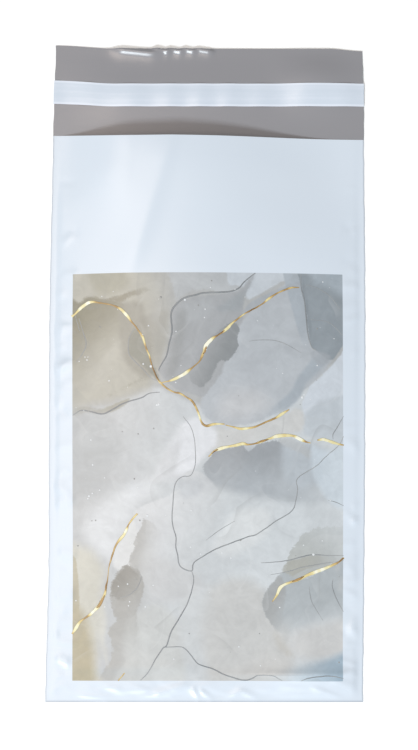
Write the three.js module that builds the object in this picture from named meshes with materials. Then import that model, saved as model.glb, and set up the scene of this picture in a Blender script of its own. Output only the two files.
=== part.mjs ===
// A poly mailer bag: one sheet of coextruded film, folded at the bottom and welded down both sides, with
// a closing flap that runs on from the back panel. A band of pressure-sensitive adhesive crosses the
// inside of the flap under its release liner. The bag is empty and lies on its back. Its front panel
// stands off the back panel, most of all at the lip of the mouth.
//
// Millimetres. +X across the bag, +Y from the bottom fold to the end of the flap, +Z up.
import * as THREE from "three";
import { mergeVertices } from "three/addons/utils/BufferGeometryUtils.js";

// The flat sheet
const WIDTH = 170; // over both side welds
const BODY = 303; // bottom fold to mouth
const FLAP = 50; // mouth to the end of the flap
const FILM = 0.06; // one wall of film
const WELD = 1.6; // width of each side weld
const LINER = { width: 12.5, thick: 0.05, middle: BODY + 24.4 };
const ADHESIVE = { width: 9.5, thick: 0.04 };
const CONTACT = 0.01; // air between two sheets that touch

// How it lies
const BODY_LIFT = 9; // most that the front panel stands off the back panel
const BODY_CREST = 235; // how far up the body that is
const LIP_LIFT = 9.5; // most that the lip stands off at the mouth
const LEAST_GAP = 0.02; // clear height where the two panels rest on each other
const FOLD_GAP = 0.5; // clear height inside the bottom fold
const FOLD_REACH = 3; // length of each panel that the bottom fold's bend takes up
const FLAP_RISE = 1.9; // the flap's end springs up this far
const FLAP_WAVES = [
  { height: 1, length: 119, crest: -22 },
  { height: 0.5, length: 72, crest: 12 },
];
const DRAWN_IN = { mouth: 0.006, end: 0.012 }; // share of the width lost where the sheet is wavy

// How finely the sheet is divided
const STEPS_ACROSS = 26;
const STEPS_UP_BODY = 22;
const STEPS_ROUND_FOLD = 6;

const LENGTH = BODY + FLAP;
const HALF = WIDTH / 2;
const POCKET = HALF - WELD; // half the pocket's width

// ------------------------------------------------------------------ the shape that the sheet takes
const clamp = (t) => Math.min(1, Math.max(0, t));
const ease = (from, to, value) => {
  const t = clamp((value - from) / (to - from));
  return t * t * (3 - 2 * t);
};
const mix = (a, b, t) => a + (b - a) * t;

const drawnIn = (y) =>
  DRAWN_IN.mouth * ease(0.5 * BODY, BODY, y) + (DRAWN_IN.end - DRAWN_IN.mouth) * ease(BODY, LENGTH, y);

// A point of the sheet, x across and y along while flat, at height z.
const at = (x, y, z) => [x * (1 - drawnIn(y)), y, z];

// The underside: flat under the body, springing up in slow waves along the flap.
function rise(x, y) {
  const wave = (w) => w.height * Math.cos((2 * Math.PI * (x - w.crest)) / w.length);
  const waves = FLAP_WAVES.reduce((sum, w) => sum + wave(w), 0);
  return ease(BODY, LENGTH, y) * (FLAP_RISE + waves);
}

// 1 along the middle of the pocket, 0 at its welds.
const crown = (x) => 1 - (x / POCKET) ** 2;

// The lip stands up left of the middle, and lies down at the left weld and over the right third.
const lip = (x) => ease(-POCKET, -44, x) * (1 - ease(-10, 68, x));

// The clear height between the two panels.
function gap(x, y) {
  if (Math.abs(x) >= POCKET) return 0;
  const body = BODY_LIFT * mix(0.1, 1, ease(0, BODY_CREST, y)) * crown(x);
  const up = mix(body, LIP_LIFT * lip(x), ease(BODY_CREST, BODY, y));
  const open = mix(FOLD_GAP * crown(x), up, ease(0, 5 * FOLD_REACH, y));
  return Math.max(open, LEAST_GAP);
}

// ------------------------------------------------------------------ where the sheet is divided
const spread = (from, to, steps) =>
  Array.from({ length: steps + 1 }, (_, i) => mix(from, to, i / steps));

const across = [-HALF, ...spread(-POCKET, POCKET, STEPS_ACROSS), HALF];
const pocketAcross = across.slice(1, -1);
const upBody = spread(FOLD_REACH, BODY, STEPS_UP_BODY);
const upLiner = [-LINER.width, -ADHESIVE.width, ADHESIVE.width, LINER.width].map(
  (width) => LINER.middle + width / 2,
);
const upAdhesive = upLiner.slice(1, 3);
const upFlap = [
  BODY,
  mix(BODY, upLiner[0], 0.5),
  ...upLiner,
  mix(upLiner[3], LENGTH, 0.5),
  LENGTH,
];

// ------------------------------------------------------------------ closed skins
const last = (list) => list[list.length - 1];

// Collects the faces of a closed surface.
class Skin {
  corners = [];

  triangle(...points) {
    this.corners.push(...points.flat());
  }

  // A face over the divisions xs and ys, looking up or down. Every cell is split along the same diagonal,
  // so that faces one over another stay apart.
  face(point, xs, ys, up) {
    for (let i = 0; i + 1 < xs.length; i++) {
      for (let j = 0; j + 1 < ys.length; j++) {
        const near = point(xs[i], ys[j]);
        const right = point(xs[i + 1], ys[j]);
        const far = point(xs[i + 1], ys[j + 1]);
        const left = point(xs[i], ys[j + 1]);
        this.triangle(near, ...(up ? [right, far] : [far, right]));
        this.triangle(near, ...(up ? [far, left] : [left, far]));
      }
    }
  }

  // A band between two lines of points. Seen from outside, up the lines, the first one is on the left.
  band(left, right) {
    for (let i = 0; i + 1 < left.length; i++) {
      this.triangle(left[i], right[i], right[i + 1]);
      this.triangle(left[i], right[i + 1], left[i + 1]);
    }
  }

  geometry() {
    const loose = new THREE.BufferGeometry();
    loose.setAttribute("position", new THREE.Float32BufferAttribute(this.corners, 3));
    const joined = mergeVertices(loose, FILM / 1000);
    const index = Array.from(joined.index.array);
    const faces = [];
    for (let i = 0; i < index.length; i += 3) {
      const [a, b, c] = index.slice(i, i + 3);
      // A band that narrows to nothing leaves faces without area.
      if (a !== b && b !== c && c !== a) faces.push(a, b, c);
    }
    joined.setIndex(faces);
    joined.computeVertexNormals();
    return joined;
  }
}

// ------------------------------------------------------------------ the film
const underBack = (x, y) => at(x, y, rise(x, y));
const overBack = (x, y) => at(x, y, rise(x, y) + FILM);
const underFront = (x, y) => at(x, y, rise(x, y) + FILM + gap(x, y));
const overFront = (x, y) => at(x, y, rise(x, y) + 2 * FILM + gap(x, y));

// The outer face of the bottom fold at x, from the back panel round to the front panel.
function foldRound(x) {
  const low = underBack(x, FOLD_REACH)[2];
  const high = overFront(x, FOLD_REACH)[2];
  return spread(0, Math.PI, STEPS_ROUND_FOLD).map((turn, i) => {
    if (i === 0) return underBack(x, FOLD_REACH);
    if (i === STEPS_ROUND_FOLD) return overFront(x, FOLD_REACH);
    return at(x, FOLD_REACH * (1 - Math.sin(turn)), mix(low, high, (1 - Math.cos(turn)) / 2));
  });
}

// The inner face of the bottom fold at x, from the front panel round to the back panel. Its deepest
// line is a wall's thickness in from the outer face. At a weld it closes to a point.
function foldInside(x) {
  const front = underFront(x, FOLD_REACH);
  const back = overBack(x, FOLD_REACH);
  const deepest = at(x, FILM, (front[2] + back[2]) / 2);
  return [front, Math.abs(x) < POCKET ? deepest : back, back];
}

// The cut edge up one side: two walls thick along the weld, one along the flap.
function cutEdge(skin, x) {
  const line = (face, stations) => stations.map((y) => face(x, y));
  const band = (low, high) => (x < 0 ? skin.band(low, high) : skin.band(high, low));
  band(line(underBack, upBody), line(overBack, upBody));
  band(line(overBack, upBody), line(overFront, upBody));
  band(line(underBack, upFlap), line(overBack, upFlap));

  const round = foldRound(x);
  for (let i = 0; i + 1 < round.length; i++) {
    const pair = x < 0 ? [round[i], round[i + 1]] : [round[i + 1], round[i]];
    skin.triangle(overBack(x, FOLD_REACH), ...pair);
  }
}

function filmGeometry() {
  const skin = new Skin();
  skin.face(underBack, across, [...upBody, ...upFlap.slice(1)], false);
  skin.face(overFront, across, upBody, true);
  skin.face(underFront, pocketAcross, upBody, false);
  skin.face(overBack, pocketAcross, upBody, true);
  skin.face(overBack, across, upFlap, true);
  for (const [round, xs] of [[foldRound, across], [foldInside, pocketAcross]]) {
    for (let i = 0; i + 1 < xs.length; i++) skin.band(round(xs[i]), round(xs[i + 1]));
  }
  skin.band(across.map((x) => underFront(x, BODY)), across.map((x) => overFront(x, BODY)));
  skin.band(across.map((x) => underBack(x, LENGTH)), across.map((x) => overBack(x, LENGTH)));
  cutEdge(skin, -HALF);
  cutEdge(skin, HALF);
  return skin.geometry();
}

// ------------------------------------------------------------------ the strips on the flap
// A sheet along the flap, its underside at a clear height over the flap's inner face.
function stripGeometry(clear, thick, stations) {
  const skin = new Skin();
  const bottom = (x, y) => at(x, y, rise(x, y) + FILM + clear);
  const top = (x, y) => at(x, y, rise(x, y) + FILM + clear + thick);
  skin.face(top, across, stations, true);
  skin.face(bottom, across, stations, false);

  const along = (face, y) => across.map((x) => face(x, y));
  const up = (face, x) => stations.map((y) => face(x, y));
  skin.band(along(top, stations[0]), along(bottom, stations[0]));
  skin.band(along(bottom, last(stations)), along(top, last(stations)));
  skin.band(up(bottom, -HALF), up(top, -HALF));
  skin.band(up(top, HALF), up(bottom, HALF));
  return skin.geometry();
}

// ------------------------------------------------------------------ the pieces
const bag = new THREE.Group();
bag.position.y = -LENGTH / 2;

function piece(name, geometry, color, roughness) {
  const material = new THREE.MeshStandardMaterial({ color, roughness, metalness: 0 });
  const mesh = new THREE.Mesh(geometry, material);
  mesh.name = name;
  bag.add(mesh);
}

const linerClear = 2 * CONTACT + ADHESIVE.thick;
piece("mailer_film", filmGeometry(), 0xe4ebf5, 0.35);
piece("adhesive_strip", stripGeometry(CONTACT, ADHESIVE.thick, upAdhesive), 0xd9d6c8, 0.3);
piece("release_liner", stripGeometry(linerClear, LINER.thick, upLiner), 0xdfe6ef, 0.4);

export default bag;
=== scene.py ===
# %% [markdown]
# # A poly mailer bag
# A poly mailer is one sheet of film folded into a J. The long leg is the back panel and, past the mouth,
# the closing flap. The short leg is the printed front panel. The sides are welded, and a strip of
# adhesive crosses the flap under its release liner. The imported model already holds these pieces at
# their real size, so the looks are built around it in the same frame, in metres.

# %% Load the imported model
import math
from collections import namedtuple

import bpy
import numpy as np
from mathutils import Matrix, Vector


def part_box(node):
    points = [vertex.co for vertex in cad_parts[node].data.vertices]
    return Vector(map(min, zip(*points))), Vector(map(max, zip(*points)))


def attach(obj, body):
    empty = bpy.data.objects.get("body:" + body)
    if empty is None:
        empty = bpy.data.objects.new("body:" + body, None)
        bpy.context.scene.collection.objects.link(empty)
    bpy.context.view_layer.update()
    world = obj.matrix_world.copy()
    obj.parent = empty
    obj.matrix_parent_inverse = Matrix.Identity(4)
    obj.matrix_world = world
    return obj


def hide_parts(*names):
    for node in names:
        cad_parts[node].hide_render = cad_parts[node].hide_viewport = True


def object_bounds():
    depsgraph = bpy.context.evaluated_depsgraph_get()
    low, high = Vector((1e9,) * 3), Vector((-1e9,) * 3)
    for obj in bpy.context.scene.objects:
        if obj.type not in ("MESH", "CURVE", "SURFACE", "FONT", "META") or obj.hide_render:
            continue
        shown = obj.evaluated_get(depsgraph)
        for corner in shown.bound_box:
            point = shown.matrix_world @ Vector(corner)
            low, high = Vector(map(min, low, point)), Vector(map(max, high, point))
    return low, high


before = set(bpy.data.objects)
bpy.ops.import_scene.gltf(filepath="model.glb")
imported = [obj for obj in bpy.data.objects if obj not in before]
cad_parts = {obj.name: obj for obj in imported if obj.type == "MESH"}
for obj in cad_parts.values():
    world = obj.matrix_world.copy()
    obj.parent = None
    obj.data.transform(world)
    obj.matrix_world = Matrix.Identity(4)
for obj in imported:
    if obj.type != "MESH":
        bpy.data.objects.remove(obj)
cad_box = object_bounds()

MM = 0.001
low, high = (np.array(corner) / MM for corner in cad_box)
print("bag, mm:", np.round(high - low, 1))

# %% [markdown]
# ## The sizes of the sheet
# Everything is measured on the flat sheet: `s` across it from the middle, and `t` up it from the bottom
# fold. The mouth is where the flap starts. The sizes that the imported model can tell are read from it.

# %% Measure the sheet
WIDTH = high[0] - low[0]
LENGTH = high[1] - low[1]  # bottom fold to the end of the flap
FLAP = 50.0
BODY = LENGTH - FLAP
FILM = 0.06  # one wall of film
WELD = 1.6  # width of a side weld
HALF = WIDTH / 2
POCKET = HALF - WELD
FOLD_Y = low[1]  # where the bottom fold lies


def up_the_sheet(box):
    """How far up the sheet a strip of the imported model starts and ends, from its box."""
    near, far = (np.array(corner) / MM for corner in box)
    return near[1] - FOLD_Y, far[1] - FOLD_Y


LINER = up_the_sheet(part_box("release_liner"))
ADHESIVE = up_the_sheet(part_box("adhesive_strip"))
print(f"body {BODY:.1f}, flap {FLAP:.1f}, liner {LINER[0]:.1f} to {LINER[1]:.1f} mm up the sheet")

# %% [markdown]
# ## Camera
# The bag lies on its back and the camera looks down on it, leaning back a couple of degrees, so that
# the bottom of the bag is a little nearer than the flap.

# %% Place the camera
CAMERA_DISTANCE = 0.75
CAMERA_LEAN = math.radians(2.3)
VIEW_HEIGHT = 0.405  # what the tall side of the frame takes in at that distance
AIM = Vector((1.1, -1.35, 0)) * MM
SENSOR = 36  # millimetres


def added(name, data):
    """A new object in the scene."""
    made = bpy.data.objects.new(name, data)
    bpy.context.collection.objects.link(made)
    return made


camera_data = bpy.data.cameras.new("camera")
camera_data.sensor_width = SENSOR
camera_data.lens = SENSOR / 2 * CAMERA_DISTANCE / (VIEW_HEIGHT / 2)
camera = added("camera", camera_data)
back = Vector((0, -math.sin(CAMERA_LEAN), math.cos(CAMERA_LEAN)))
camera.location = AIM + back * CAMERA_DISTANCE
camera.rotation_euler = (CAMERA_LEAN, 0, 0)
bpy.context.scene.camera = camera
print(f"lens {camera_data.lens:.1f} mm")

# %% [markdown]
# ## Floor and light
# A plain white floor, two softboxes and the sky. The small softbox stands low beyond the foot of the
# bag, and makes the raised lip of the mouth throw a soft arc of shadow on the grey film behind it. The
# wide one, above and to the left, lays a sheen on the left of the film. The sky fills the right side
# with a cooler, bluer light.

# %% Lay the floor
FLOOR_HALF = 3.0
FLOOR_Z = -0.2 * MM


def new_material(name):
    """A material, its node tree and its shader."""
    material = bpy.data.materials.new(name)
    material.use_nodes = True
    return material, material.node_tree, material.node_tree.nodes["Principled BSDF"]


floor_mesh = bpy.data.meshes.new("floor")
ways = ((-1, -1), (1, -1), (1, 1), (-1, 1))
floor_mesh.from_pydata([(FLOOR_HALF * x, FLOOR_HALF * y, FLOOR_Z) for x, y in ways], [], [(0, 1, 2, 3)])
floor = added("floor", floor_mesh)
floor_material, _, floor_shader = new_material("floor")
floor_shader.inputs["Base Color"].default_value = (0.97, 0.97, 0.97, 1)
floor_shader.inputs["Roughness"].default_value = 0.9
floor_mesh.materials.append(floor_material)
print("floor:", 2 * FLOOR_HALF, "m")

# %% Set the light


def soft_light(name, towards, distance, size, power, colour):
    """An area light, size across and along, that shines on the bag from the direction given."""
    data = bpy.data.lights.new(name, "AREA")
    data.color = colour
    data.shape = "RECTANGLE"
    data.size, data.size_y = size
    data.energy = power
    light = added(name, data)
    light.location = Vector(towards).normalized() * distance
    light.rotation_euler = Vector(towards).to_track_quat("Z", "Y").to_euler()


soft_light("low softbox", (-0.28, -0.68, 0.76), 2.5, (0.53, 0.53), 42, (0.865, 0.945, 1))
soft_light("left softbox", (-0.34, -0.035, 1), 1.7, (1.1, 0.85), 12.9, (1, 0.82, 0.69))

world = bpy.data.worlds.new("studio")
world.use_nodes = True
sky = world.node_tree.nodes["Background"]
sky.inputs["Color"].default_value = (0.85, 0.95, 1, 1)
sky.inputs["Strength"].default_value = 0.41
bpy.context.scene.world = world
bpy.context.scene.view_settings.view_transform = "Standard"

# %% [markdown]
# ## How the film lies
# The back panel is flat on the floor. The front panel stands off it in a long crown that is highest a
# little left of the middle, and the lip of the mouth stands up there too. The flap bows up past the
# mouth, and its cut end was pinched. Each of these is one smooth height over the flat sheet, so the
# whole shape is a sum of short functions of `s` and `t`.

# %% Shape the front panel
CROWN_LIFT = 9.0  # most that the front panel stands off
CROWN_MIDDLE = -14.0
CROWN_TOP = 235.0  # how far up the body the crown is highest
CROWN_POWER = 2.1  # the crown's section: above 2 it is fuller than a parabola
CROWN_AT_FOOT = 0.09  # share of the crown that is left at the bottom fold
LIP_LIFT = 10.0
LIP_SLACK = 0.35  # the lip is this high even where it lies down
SHARP = 1.8  # a crease higher than this is folded hard, with an edge along its crest


def ease(start, end, value):
    """0 before start, 1 past end, and smooth between them."""
    t = np.clip((value - start) / (end - start), 0, 1)
    return t * t * (3 - 2 * t)


def mix(a, b, t):
    return a + (b - a) * t


def crown(s):
    """1 at the crest of the crown, 0 at both welds, with the crest off the middle."""
    reach = np.where(s < CROWN_MIDDLE, POCKET + CROWN_MIDDLE, POCKET - CROWN_MIDDLE)
    return np.clip(1 - (np.abs(s - CROWN_MIDDLE) / reach) ** CROWN_POWER, 0, 1)


def lip(s):
    """How far the front's free edge stands up: 1 left of the middle, lying down at both ends."""
    return ease(-POCKET, -42, s) * (1 - ease(-14, 72, s))


def front_gap(s, t):
    """The clear height between the panels, before creases."""
    body = CROWN_LIFT * mix(CROWN_AT_FOOT, 1, ease(0, CROWN_TOP, t)) * crown(s)
    return mix(body, LIP_LIFT * lip(s) + LIP_SLACK * crown(s), ease(CROWN_TOP, BODY, t))


print("lip:", np.round(front_gap(np.array([-60, -30, 0, 60]), BODY), 1), "mm high at four places")

# %% [markdown]
# A crease is a ridge along a straight line: it fades out at both ends and falls off to each side. The
# same function makes the pinches at the flap's cut end here, and the front's creases further down.

# %% Shape the flap
FLAP_RISE = 1.3  # how far the flap bows up along its middle
FLAP_END = 0.3  # share of that left at its cut end
FLAP_LEFT = 0.15  # and share of it at the left side
FLAP_DROOP = 0.9  # how much less it rises at the right side
# slow waves along the flap: height, where a crest is, and length over one radian
FLAP_WAVES = [(0.3, -22, 19), (0.15, 12, 11.5)]
BUMP = 2.2  # a dent pressed up right of the middle
BUMP_AT_SIDE = 0.15  # shares of the bump left at the side and at the cut end
BUMP_AT_END = 0.12


def ridge(s, t, start, end, width, height):
    """A ridge from start to end over the sheet. Its two sides may have different widths."""
    (s0, t0), (s1, t1) = start, end
    length = math.hypot(s1 - s0, t1 - t0)
    along = ((s - s0) * (s1 - s0) + (t - t0) * (t1 - t0)) / length
    aside = ((t - t0) * (s1 - s0) - (s - s0) * (t1 - t0)) / length
    fade = ease(0, 0.3 * length, along) * (1 - ease(0.7 * length, length, along))
    left, right = width if isinstance(width, tuple) else (width, width)
    off = np.abs(aside) / np.where(aside > 0, left, right)
    return height * fade * np.where(height > SHARP, np.exp(-off), 1 / (1 + off ** 2) ** 1.5)


# where the flap's cut end was pinched: start, end, width on each side and height, as for a crease
PINCHES = [
    ((-60, LENGTH + 1), (-22, LENGTH - 2.5), (5, 7), 0.32),
    ((-57, LENGTH + 0.3), (-24, LENGTH - 3.2), (1.4, 2.8), 1.79),
    ((-33, LENGTH + 0.5), (-20, LENGTH - 2.0), (1.0, 2.5), 1.75),
    ((-25, LENGTH + 0.4), (-13, LENGTH - 1.8), (0.9, 2.4), 1.7),
    ((-17, LENGTH + 0.5), (-6, LENGTH - 1.7), (0.9, 2.4), 1.7),
    ((-10, LENGTH + 0.4), (4, LENGTH - 1.9), (0.9, 2.3), 1.6),
]


def flap_rise(s, t):
    """The back sheet's height: nothing under the body, then the flap bowing up in slow waves."""
    waves = sum(height * np.cos((s - crest) / length) for height, crest, length in FLAP_WAVES)
    droop = FLAP_DROOP * ease(46, 85, s)
    bow = ease(BODY, BODY + 26, t) * mix(1, FLAP_END, ease(BODY + 22, LENGTH - 3, t))
    bowed = np.maximum(bow * mix(FLAP_LEFT, 1, ease(-85, -48, s)) * (FLAP_RISE + waves - droop), 0)
    bump = BUMP * ease(30, 60, s) * mix(1, BUMP_AT_SIDE, ease(60, 85, s))
    end = LENGTH - 16
    bump = bump * ease(BODY + 8, end, t) * mix(1, BUMP_AT_END, ease(end, LENGTH, t))
    return bowed + (sum(ridge(s, t, *pinch) for pinch in PINCHES) + bump)


print("flap:", np.round(flap_rise(np.array([-60, 0, 60]), BODY + 26), 1), "mm high along its middle")

# %% [markdown]
# Seen from above, the sheet isn't quite a rectangle. It draws in where it is wavy, its sides lean and
# waver where they were cut, and the corners are pulled a little out of place.

# %% Lay out the sheet
LEAN = 0.0068  # the sides lean this much from square with the ends
# how far each side draws in at the foot, at the mouth and along the flap, and stands out between
DRAWN_FOOT = 0.4
DRAWN_MOUTH = 0.55
DRAWN_FLAP = 0.9
BODY_OUT = 0.45
FOOT_IN, FOOT_OUT = -0.7, 0.8  # the left side, at the foot and above it
CORNER_PULL = 1.9  # how far the flap's left end is pulled up
CORNER_DROOP = 1.3  # and its right end hangs down
CROWN_SLIP = 0.6  # how far the front rides up along its crown
LIP_SLIP = 2.2  # and at the left end of its lip


def half_width(t):
    """Half the bag's width."""
    drawn = DRAWN_FOOT * (1 - ease(0, 60, t)) - BODY_OUT * ease(40, 140, t) * (1 - ease(190, 280, t))
    return HALF - drawn - DRAWN_MOUTH * ease(240, BODY, t) - DRAWN_FLAP * ease(BODY, LENGTH, t)


def waver(s, t):
    """How the two sides waver: three waves, of which the longest differs from side to side."""
    return 0.05 * np.sin(t / 1.35) + 0.06 * np.sin(t / 2.2 + 2) + 0.07 * np.sin(t / 4.1 + np.sign(s))


def plan(s, t):
    """Where a point of the flat sheet lies, seen from above."""
    x = s * half_width(t) / HALF + LEAN * (t - LENGTH / 2) + waver(s, t) * ease(HALF - 4, HALF, np.abs(s))
    foot = mix(FOOT_IN, FOOT_OUT, ease(0, 75, t)) * (1 - ease(75, 220, t))
    x = x + foot * (1 - ease(-85, -62, s))
    pull = CORNER_PULL * (1 - ease(-85, -50, s)) * ease(BODY + 2, BODY + 24, t)
    droop = CORNER_DROOP * ease(66, 85, s) * ease(LENGTH - 14, LENGTH, t)
    return x, t + pull - droop + FOLD_Y


def front_slip(s, t):
    """How far the front panel rides up over the back."""
    bow = CROWN_SLIP * crown(s) * ease(60, 250, t)
    return bow + LIP_SLIP * (1 - ease(-85, -42, s)) * ease(235, BODY, t)


print("half width:", np.round(half_width(np.array([0, 150, BODY, LENGTH])), 2), "mm at four heights")

# %% [markdown]
# ## Creases and puckers
# Thin film keeps every fold it has had. The long creases are placed one by one. The short puckers that
# gather along the welds and the bottom fold are scattered with a fixed seed.

# %% Place the long creases
# start, end, width on each side, height, all in millimetres on the sheet
LONG_CREASES = [
    ((-14, 322), (-48, 212), (8.0, 13.0), 1.3),
    ((-95, 18), (10, 19), (6.0, 4.0), 0.35),
    ((-96, 118), (0, 117), 1.6, 0.14),
    ((-70, 4.2), (-48, 1.8), (0.8, 1.8), 0.9),
    ((-38, 2), (-10, 8), (0.9, 2.2), 0.6),
    ((-30, 5), (-6, 11), (0.9, 2.0), 0.5),
    ((-7, 9), (-2, 0), (0.8, 1.6), 0.9),
    ((-4, 8), (6, 0.5), (0.8, 1.6), 0.9),
    ((9, -1), (20, 7.5), (1.0, 2.0), 1.0),
    ((17, 8), (32, 0), (1.0, 2.0), 1.0),
    ((34, 2), (66, 5), (1.4, 2.4), 0.6),
    ((56, 9), (76, 1.5), (0.9, 2.0), 0.9),
    ((64, 14), (90, 1), 2.4, 0.4),
    ((74, 42), (92, 30), 3.0, 0.8),
    ((70, 62), (92, 70), 3.2, 0.7),
    ((72, 142), (92, 128), 3.4, 0.6),
    ((-92, 190), (-70, 204), 4.0, 0.6),
    ((-92, 122), (-70, 108), 3.4, 0.6),
    ((-92, 40), (-72, 50), 3.2, 0.6),
]
FOOT_FOLD = 15.3  # how far up a fold runs across the foot of the front
FOOT_STEEP = 0.5  # its height for each millimetre of its upper side's width
FOOT_NARROW, FOOT_WIDE = 1.5, 8  # the width of its upper side, at the left and at the right
FOOT_BELOW = 9  # the width of its lower side


def foot_fold(s, t):
    """The hard fold across the foot of the front. It grows towards the right."""
    above = mix(FOOT_NARROW, FOOT_WIDE, ease(-10, 84, s))
    height = FOOT_STEEP * above * ease(-20, 60, s) * mix(1, 0.35, ease(62, 83, s))
    off = t - FOOT_FOLD
    return height * np.where(off > 0, np.exp(-off / above), np.exp(off / FOOT_BELOW))


print(len(LONG_CREASES), "long creases")

# %% Scatter the puckers


def scattered(seed, count, place):
    """Short creases: place(random numbers) gives each one's middle, length, slant, width and height."""
    chance = np.random.default_rng(seed)
    creases = []
    for _ in range(count):
        s, t, length, slant, width, height = place(chance)
        reach = 0.5 * length * np.array([math.cos(slant), math.sin(slant)])
        creases.append(((s - reach[0], t - reach[1]), (s + reach[0], t + reach[1]), width, height))
    return creases


def weld_pucker(chance):
    """A pucker across one of the welds. There are more of them towards the foot."""
    side = chance.choice([-1, 1])
    t = BODY * (0.02 + 0.9 * chance.random() ** 1.5)
    slant = chance.normal(0, 0.35)
    return (side * chance.uniform(74, 84), t, chance.uniform(9, 20), slant,
            chance.uniform(1.2, 2.8), chance.uniform(0.1, 0.55) * chance.choice([1, -0.6]))


def fold_pucker(chance):
    """A short low pucker along the bottom fold."""
    return (chance.uniform(-84, 84), chance.uniform(1, 9), chance.uniform(8, 30), chance.normal(0, 0.35),
            chance.uniform(0.8, 1.8), chance.uniform(0.06, 0.24) * chance.choice([1, -0.8]))


def slack_wave(chance):
    """A long soft wave anywhere on the front, mostly running up it."""
    return (chance.uniform(-70, 70), chance.uniform(20, 290), chance.uniform(60, 120),
            chance.normal(1.3, 0.5), chance.uniform(9, 18), chance.uniform(-0.35, 0.45))


CREASES = (LONG_CREASES + scattered(3, 110, weld_pucker) + scattered(8, 44, fold_pucker)
           + scattered(5, 16, slack_wave))
print(len(CREASES), "creases")

# %% Settle the front on the back
LEAST_GAP = 0.02  # the inner faces touch here
SOFTEST_GAP = 0.3  # how gently the front comes down on the back
STIFF_WELD = 4.5  # the film is held down this far in from a weld
FOLD_SHARE = 0.25  # share of the height at the bottom fold


def front_height(s, t):
    """How far the front panel's inner face stands off the back panel's, creases and all."""
    free = 1 - ease(POCKET - STIFF_WELD, POCKET, np.abs(s))
    creased = foot_fold(s, t) + sum(ridge(s, t, *crease) for crease in CREASES)
    gap = front_gap(s, t) + creased * ease(0, 4, t)
    settled = (gap + np.sqrt(gap ** 2 + SOFTEST_GAP ** 2)) / 2
    return LEAST_GAP + settled * free * mix(FOLD_SHARE, 1, ease(0, 9, t))


print("front:", np.round(front_height(np.array([-40.0, 0, 40]), CROWN_TOP), 1), "mm high across the crown")

# %% [markdown]
# ## The film as one closed sheet
# The middle of the film is a grid of points: down the back from the end of the flap, round the bottom
# fold and up the front to the lip. Each point is then moved half a wall out and half a wall in along
# its normal, and the two grids are joined round the edge. The result is a closed shell as thin as the
# real film, with its white outer face and grey inner face as two materials.

# %% Divide the sheet
FOLD_STEPS = 6
FOLD_REACH = 2.0  # length of each panel that the bottom fold's bend takes up


def stretches(*pairs):
    """Stations from pairs of (end, step): each stretch runs to its end in steps of about that size."""
    stations = [pairs[0]]
    for end, step in pairs[1:]:
        count = max(1, round((end - stations[-1]) / step))
        stations += list(np.linspace(stations[-1], end, count + 1)[1:])
    return np.array(stations)


ACROSS = stretches(-HALF, (-POCKET, 0.8), (-66, 1.0), (-56, 1.8), (6, 1.0), (66, 1.8), (POCKET, 1.0),
                   (HALF, 0.8))
UP_BODY = stretches(FOLD_REACH, (34, 1.0), (285, 1.75), (BODY, 1.1))
UP_BACK = stretches(FOLD_REACH, (34, 2), (285, 3.6), (BODY, 1.8))  # the flat back needs fewer
UP_FLAP = stretches(BODY, (LENGTH - 8, 1.75), (LENGTH, 0.5))[1:]
print(len(ACROSS), "stations across,", len(UP_BODY), "up the front")

# %% Make a closed sheet from a grid of middle points
SHARPEST_BEND = math.radians(60)  # past it the shading shows an edge


def sheet_points(middle, thick):
    """The outer and inner faces of a sheet whose middle is a grid of points [along, across]."""
    across = np.gradient(middle, axis=1)
    along = np.gradient(middle, axis=0)
    normal = np.cross(across, along)
    normal /= np.linalg.norm(normal, axis=2, keepdims=True)
    return middle + normal * thick / 2, middle - normal * thick / 2


def grid_quads(rows, columns):
    """The faces of a grid of points, and the points' numbers as a grid."""
    number = np.arange(rows * columns).reshape(rows, columns)
    quads = np.stack([number[:-1, :-1], number[:-1, 1:], number[1:, 1:], number[1:, :-1]], -1)
    return quads.reshape(-1, 4), number


def sheet_mesh(name, outer, inner, flat, bake):
    """A closed thin mesh from its two faces. flat and bake are its UV maps, [face, along, across]."""
    out_quads, number = grid_quads(*outer.shape[:2])
    in_quads = out_quads[:, [0, 3, 2, 1]] + number.size  # split along the same diagonal
    border = np.concatenate([number[0], number[1:, -1], number[-1, -2::-1], number[-2:0:-1, 0]])
    following = np.roll(border, -1)
    rim = np.stack([following, border, border + number.size, following + number.size], -1)
    faces = np.concatenate([out_quads, in_quads, rim])

    mesh = bpy.data.meshes.new(name)
    points = np.concatenate([outer.reshape(-1, 3), inner.reshape(-1, 3)]) * MM
    mesh.vertices.add(len(points))
    mesh.vertices.foreach_set("co", points.ravel())
    mesh.loops.add(faces.size)
    mesh.loops.foreach_set("vertex_index", faces.ravel())
    mesh.polygons.add(len(faces))
    mesh.polygons.foreach_set("loop_start", np.arange(0, faces.size, 4))
    inside = np.repeat([0, 1, 0], [len(out_quads), len(in_quads), len(rim)])
    mesh.polygons.foreach_set("material_index", inside)
    mesh.update()
    for label, coordinates in (("film", flat), ("OFBake", bake)):
        layer = mesh.uv_layers.new(name=label)
        layer.data.foreach_set("uv", coordinates.reshape(-1, 2)[faces.ravel()].ravel())
    mesh.shade_smooth()
    mesh.set_sharp_from_angle(angle=SHARPEST_BEND)
    mesh.validate()
    return added(name, mesh)


print("edges show past", round(math.degrees(SHARPEST_BEND)), "degrees")

# %% Bend the film's middle


def back_middle(s, t):
    x, y = plan(s, t)
    return np.stack([x, y, flap_rise(s, t) + FILM / 2 + 0 * s], -1)


def front_middle(s, t):
    x, y = plan(s, t)
    return np.stack([x, y + front_slip(s, t), 1.5 * FILM + front_height(s, t)], -1)


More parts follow.
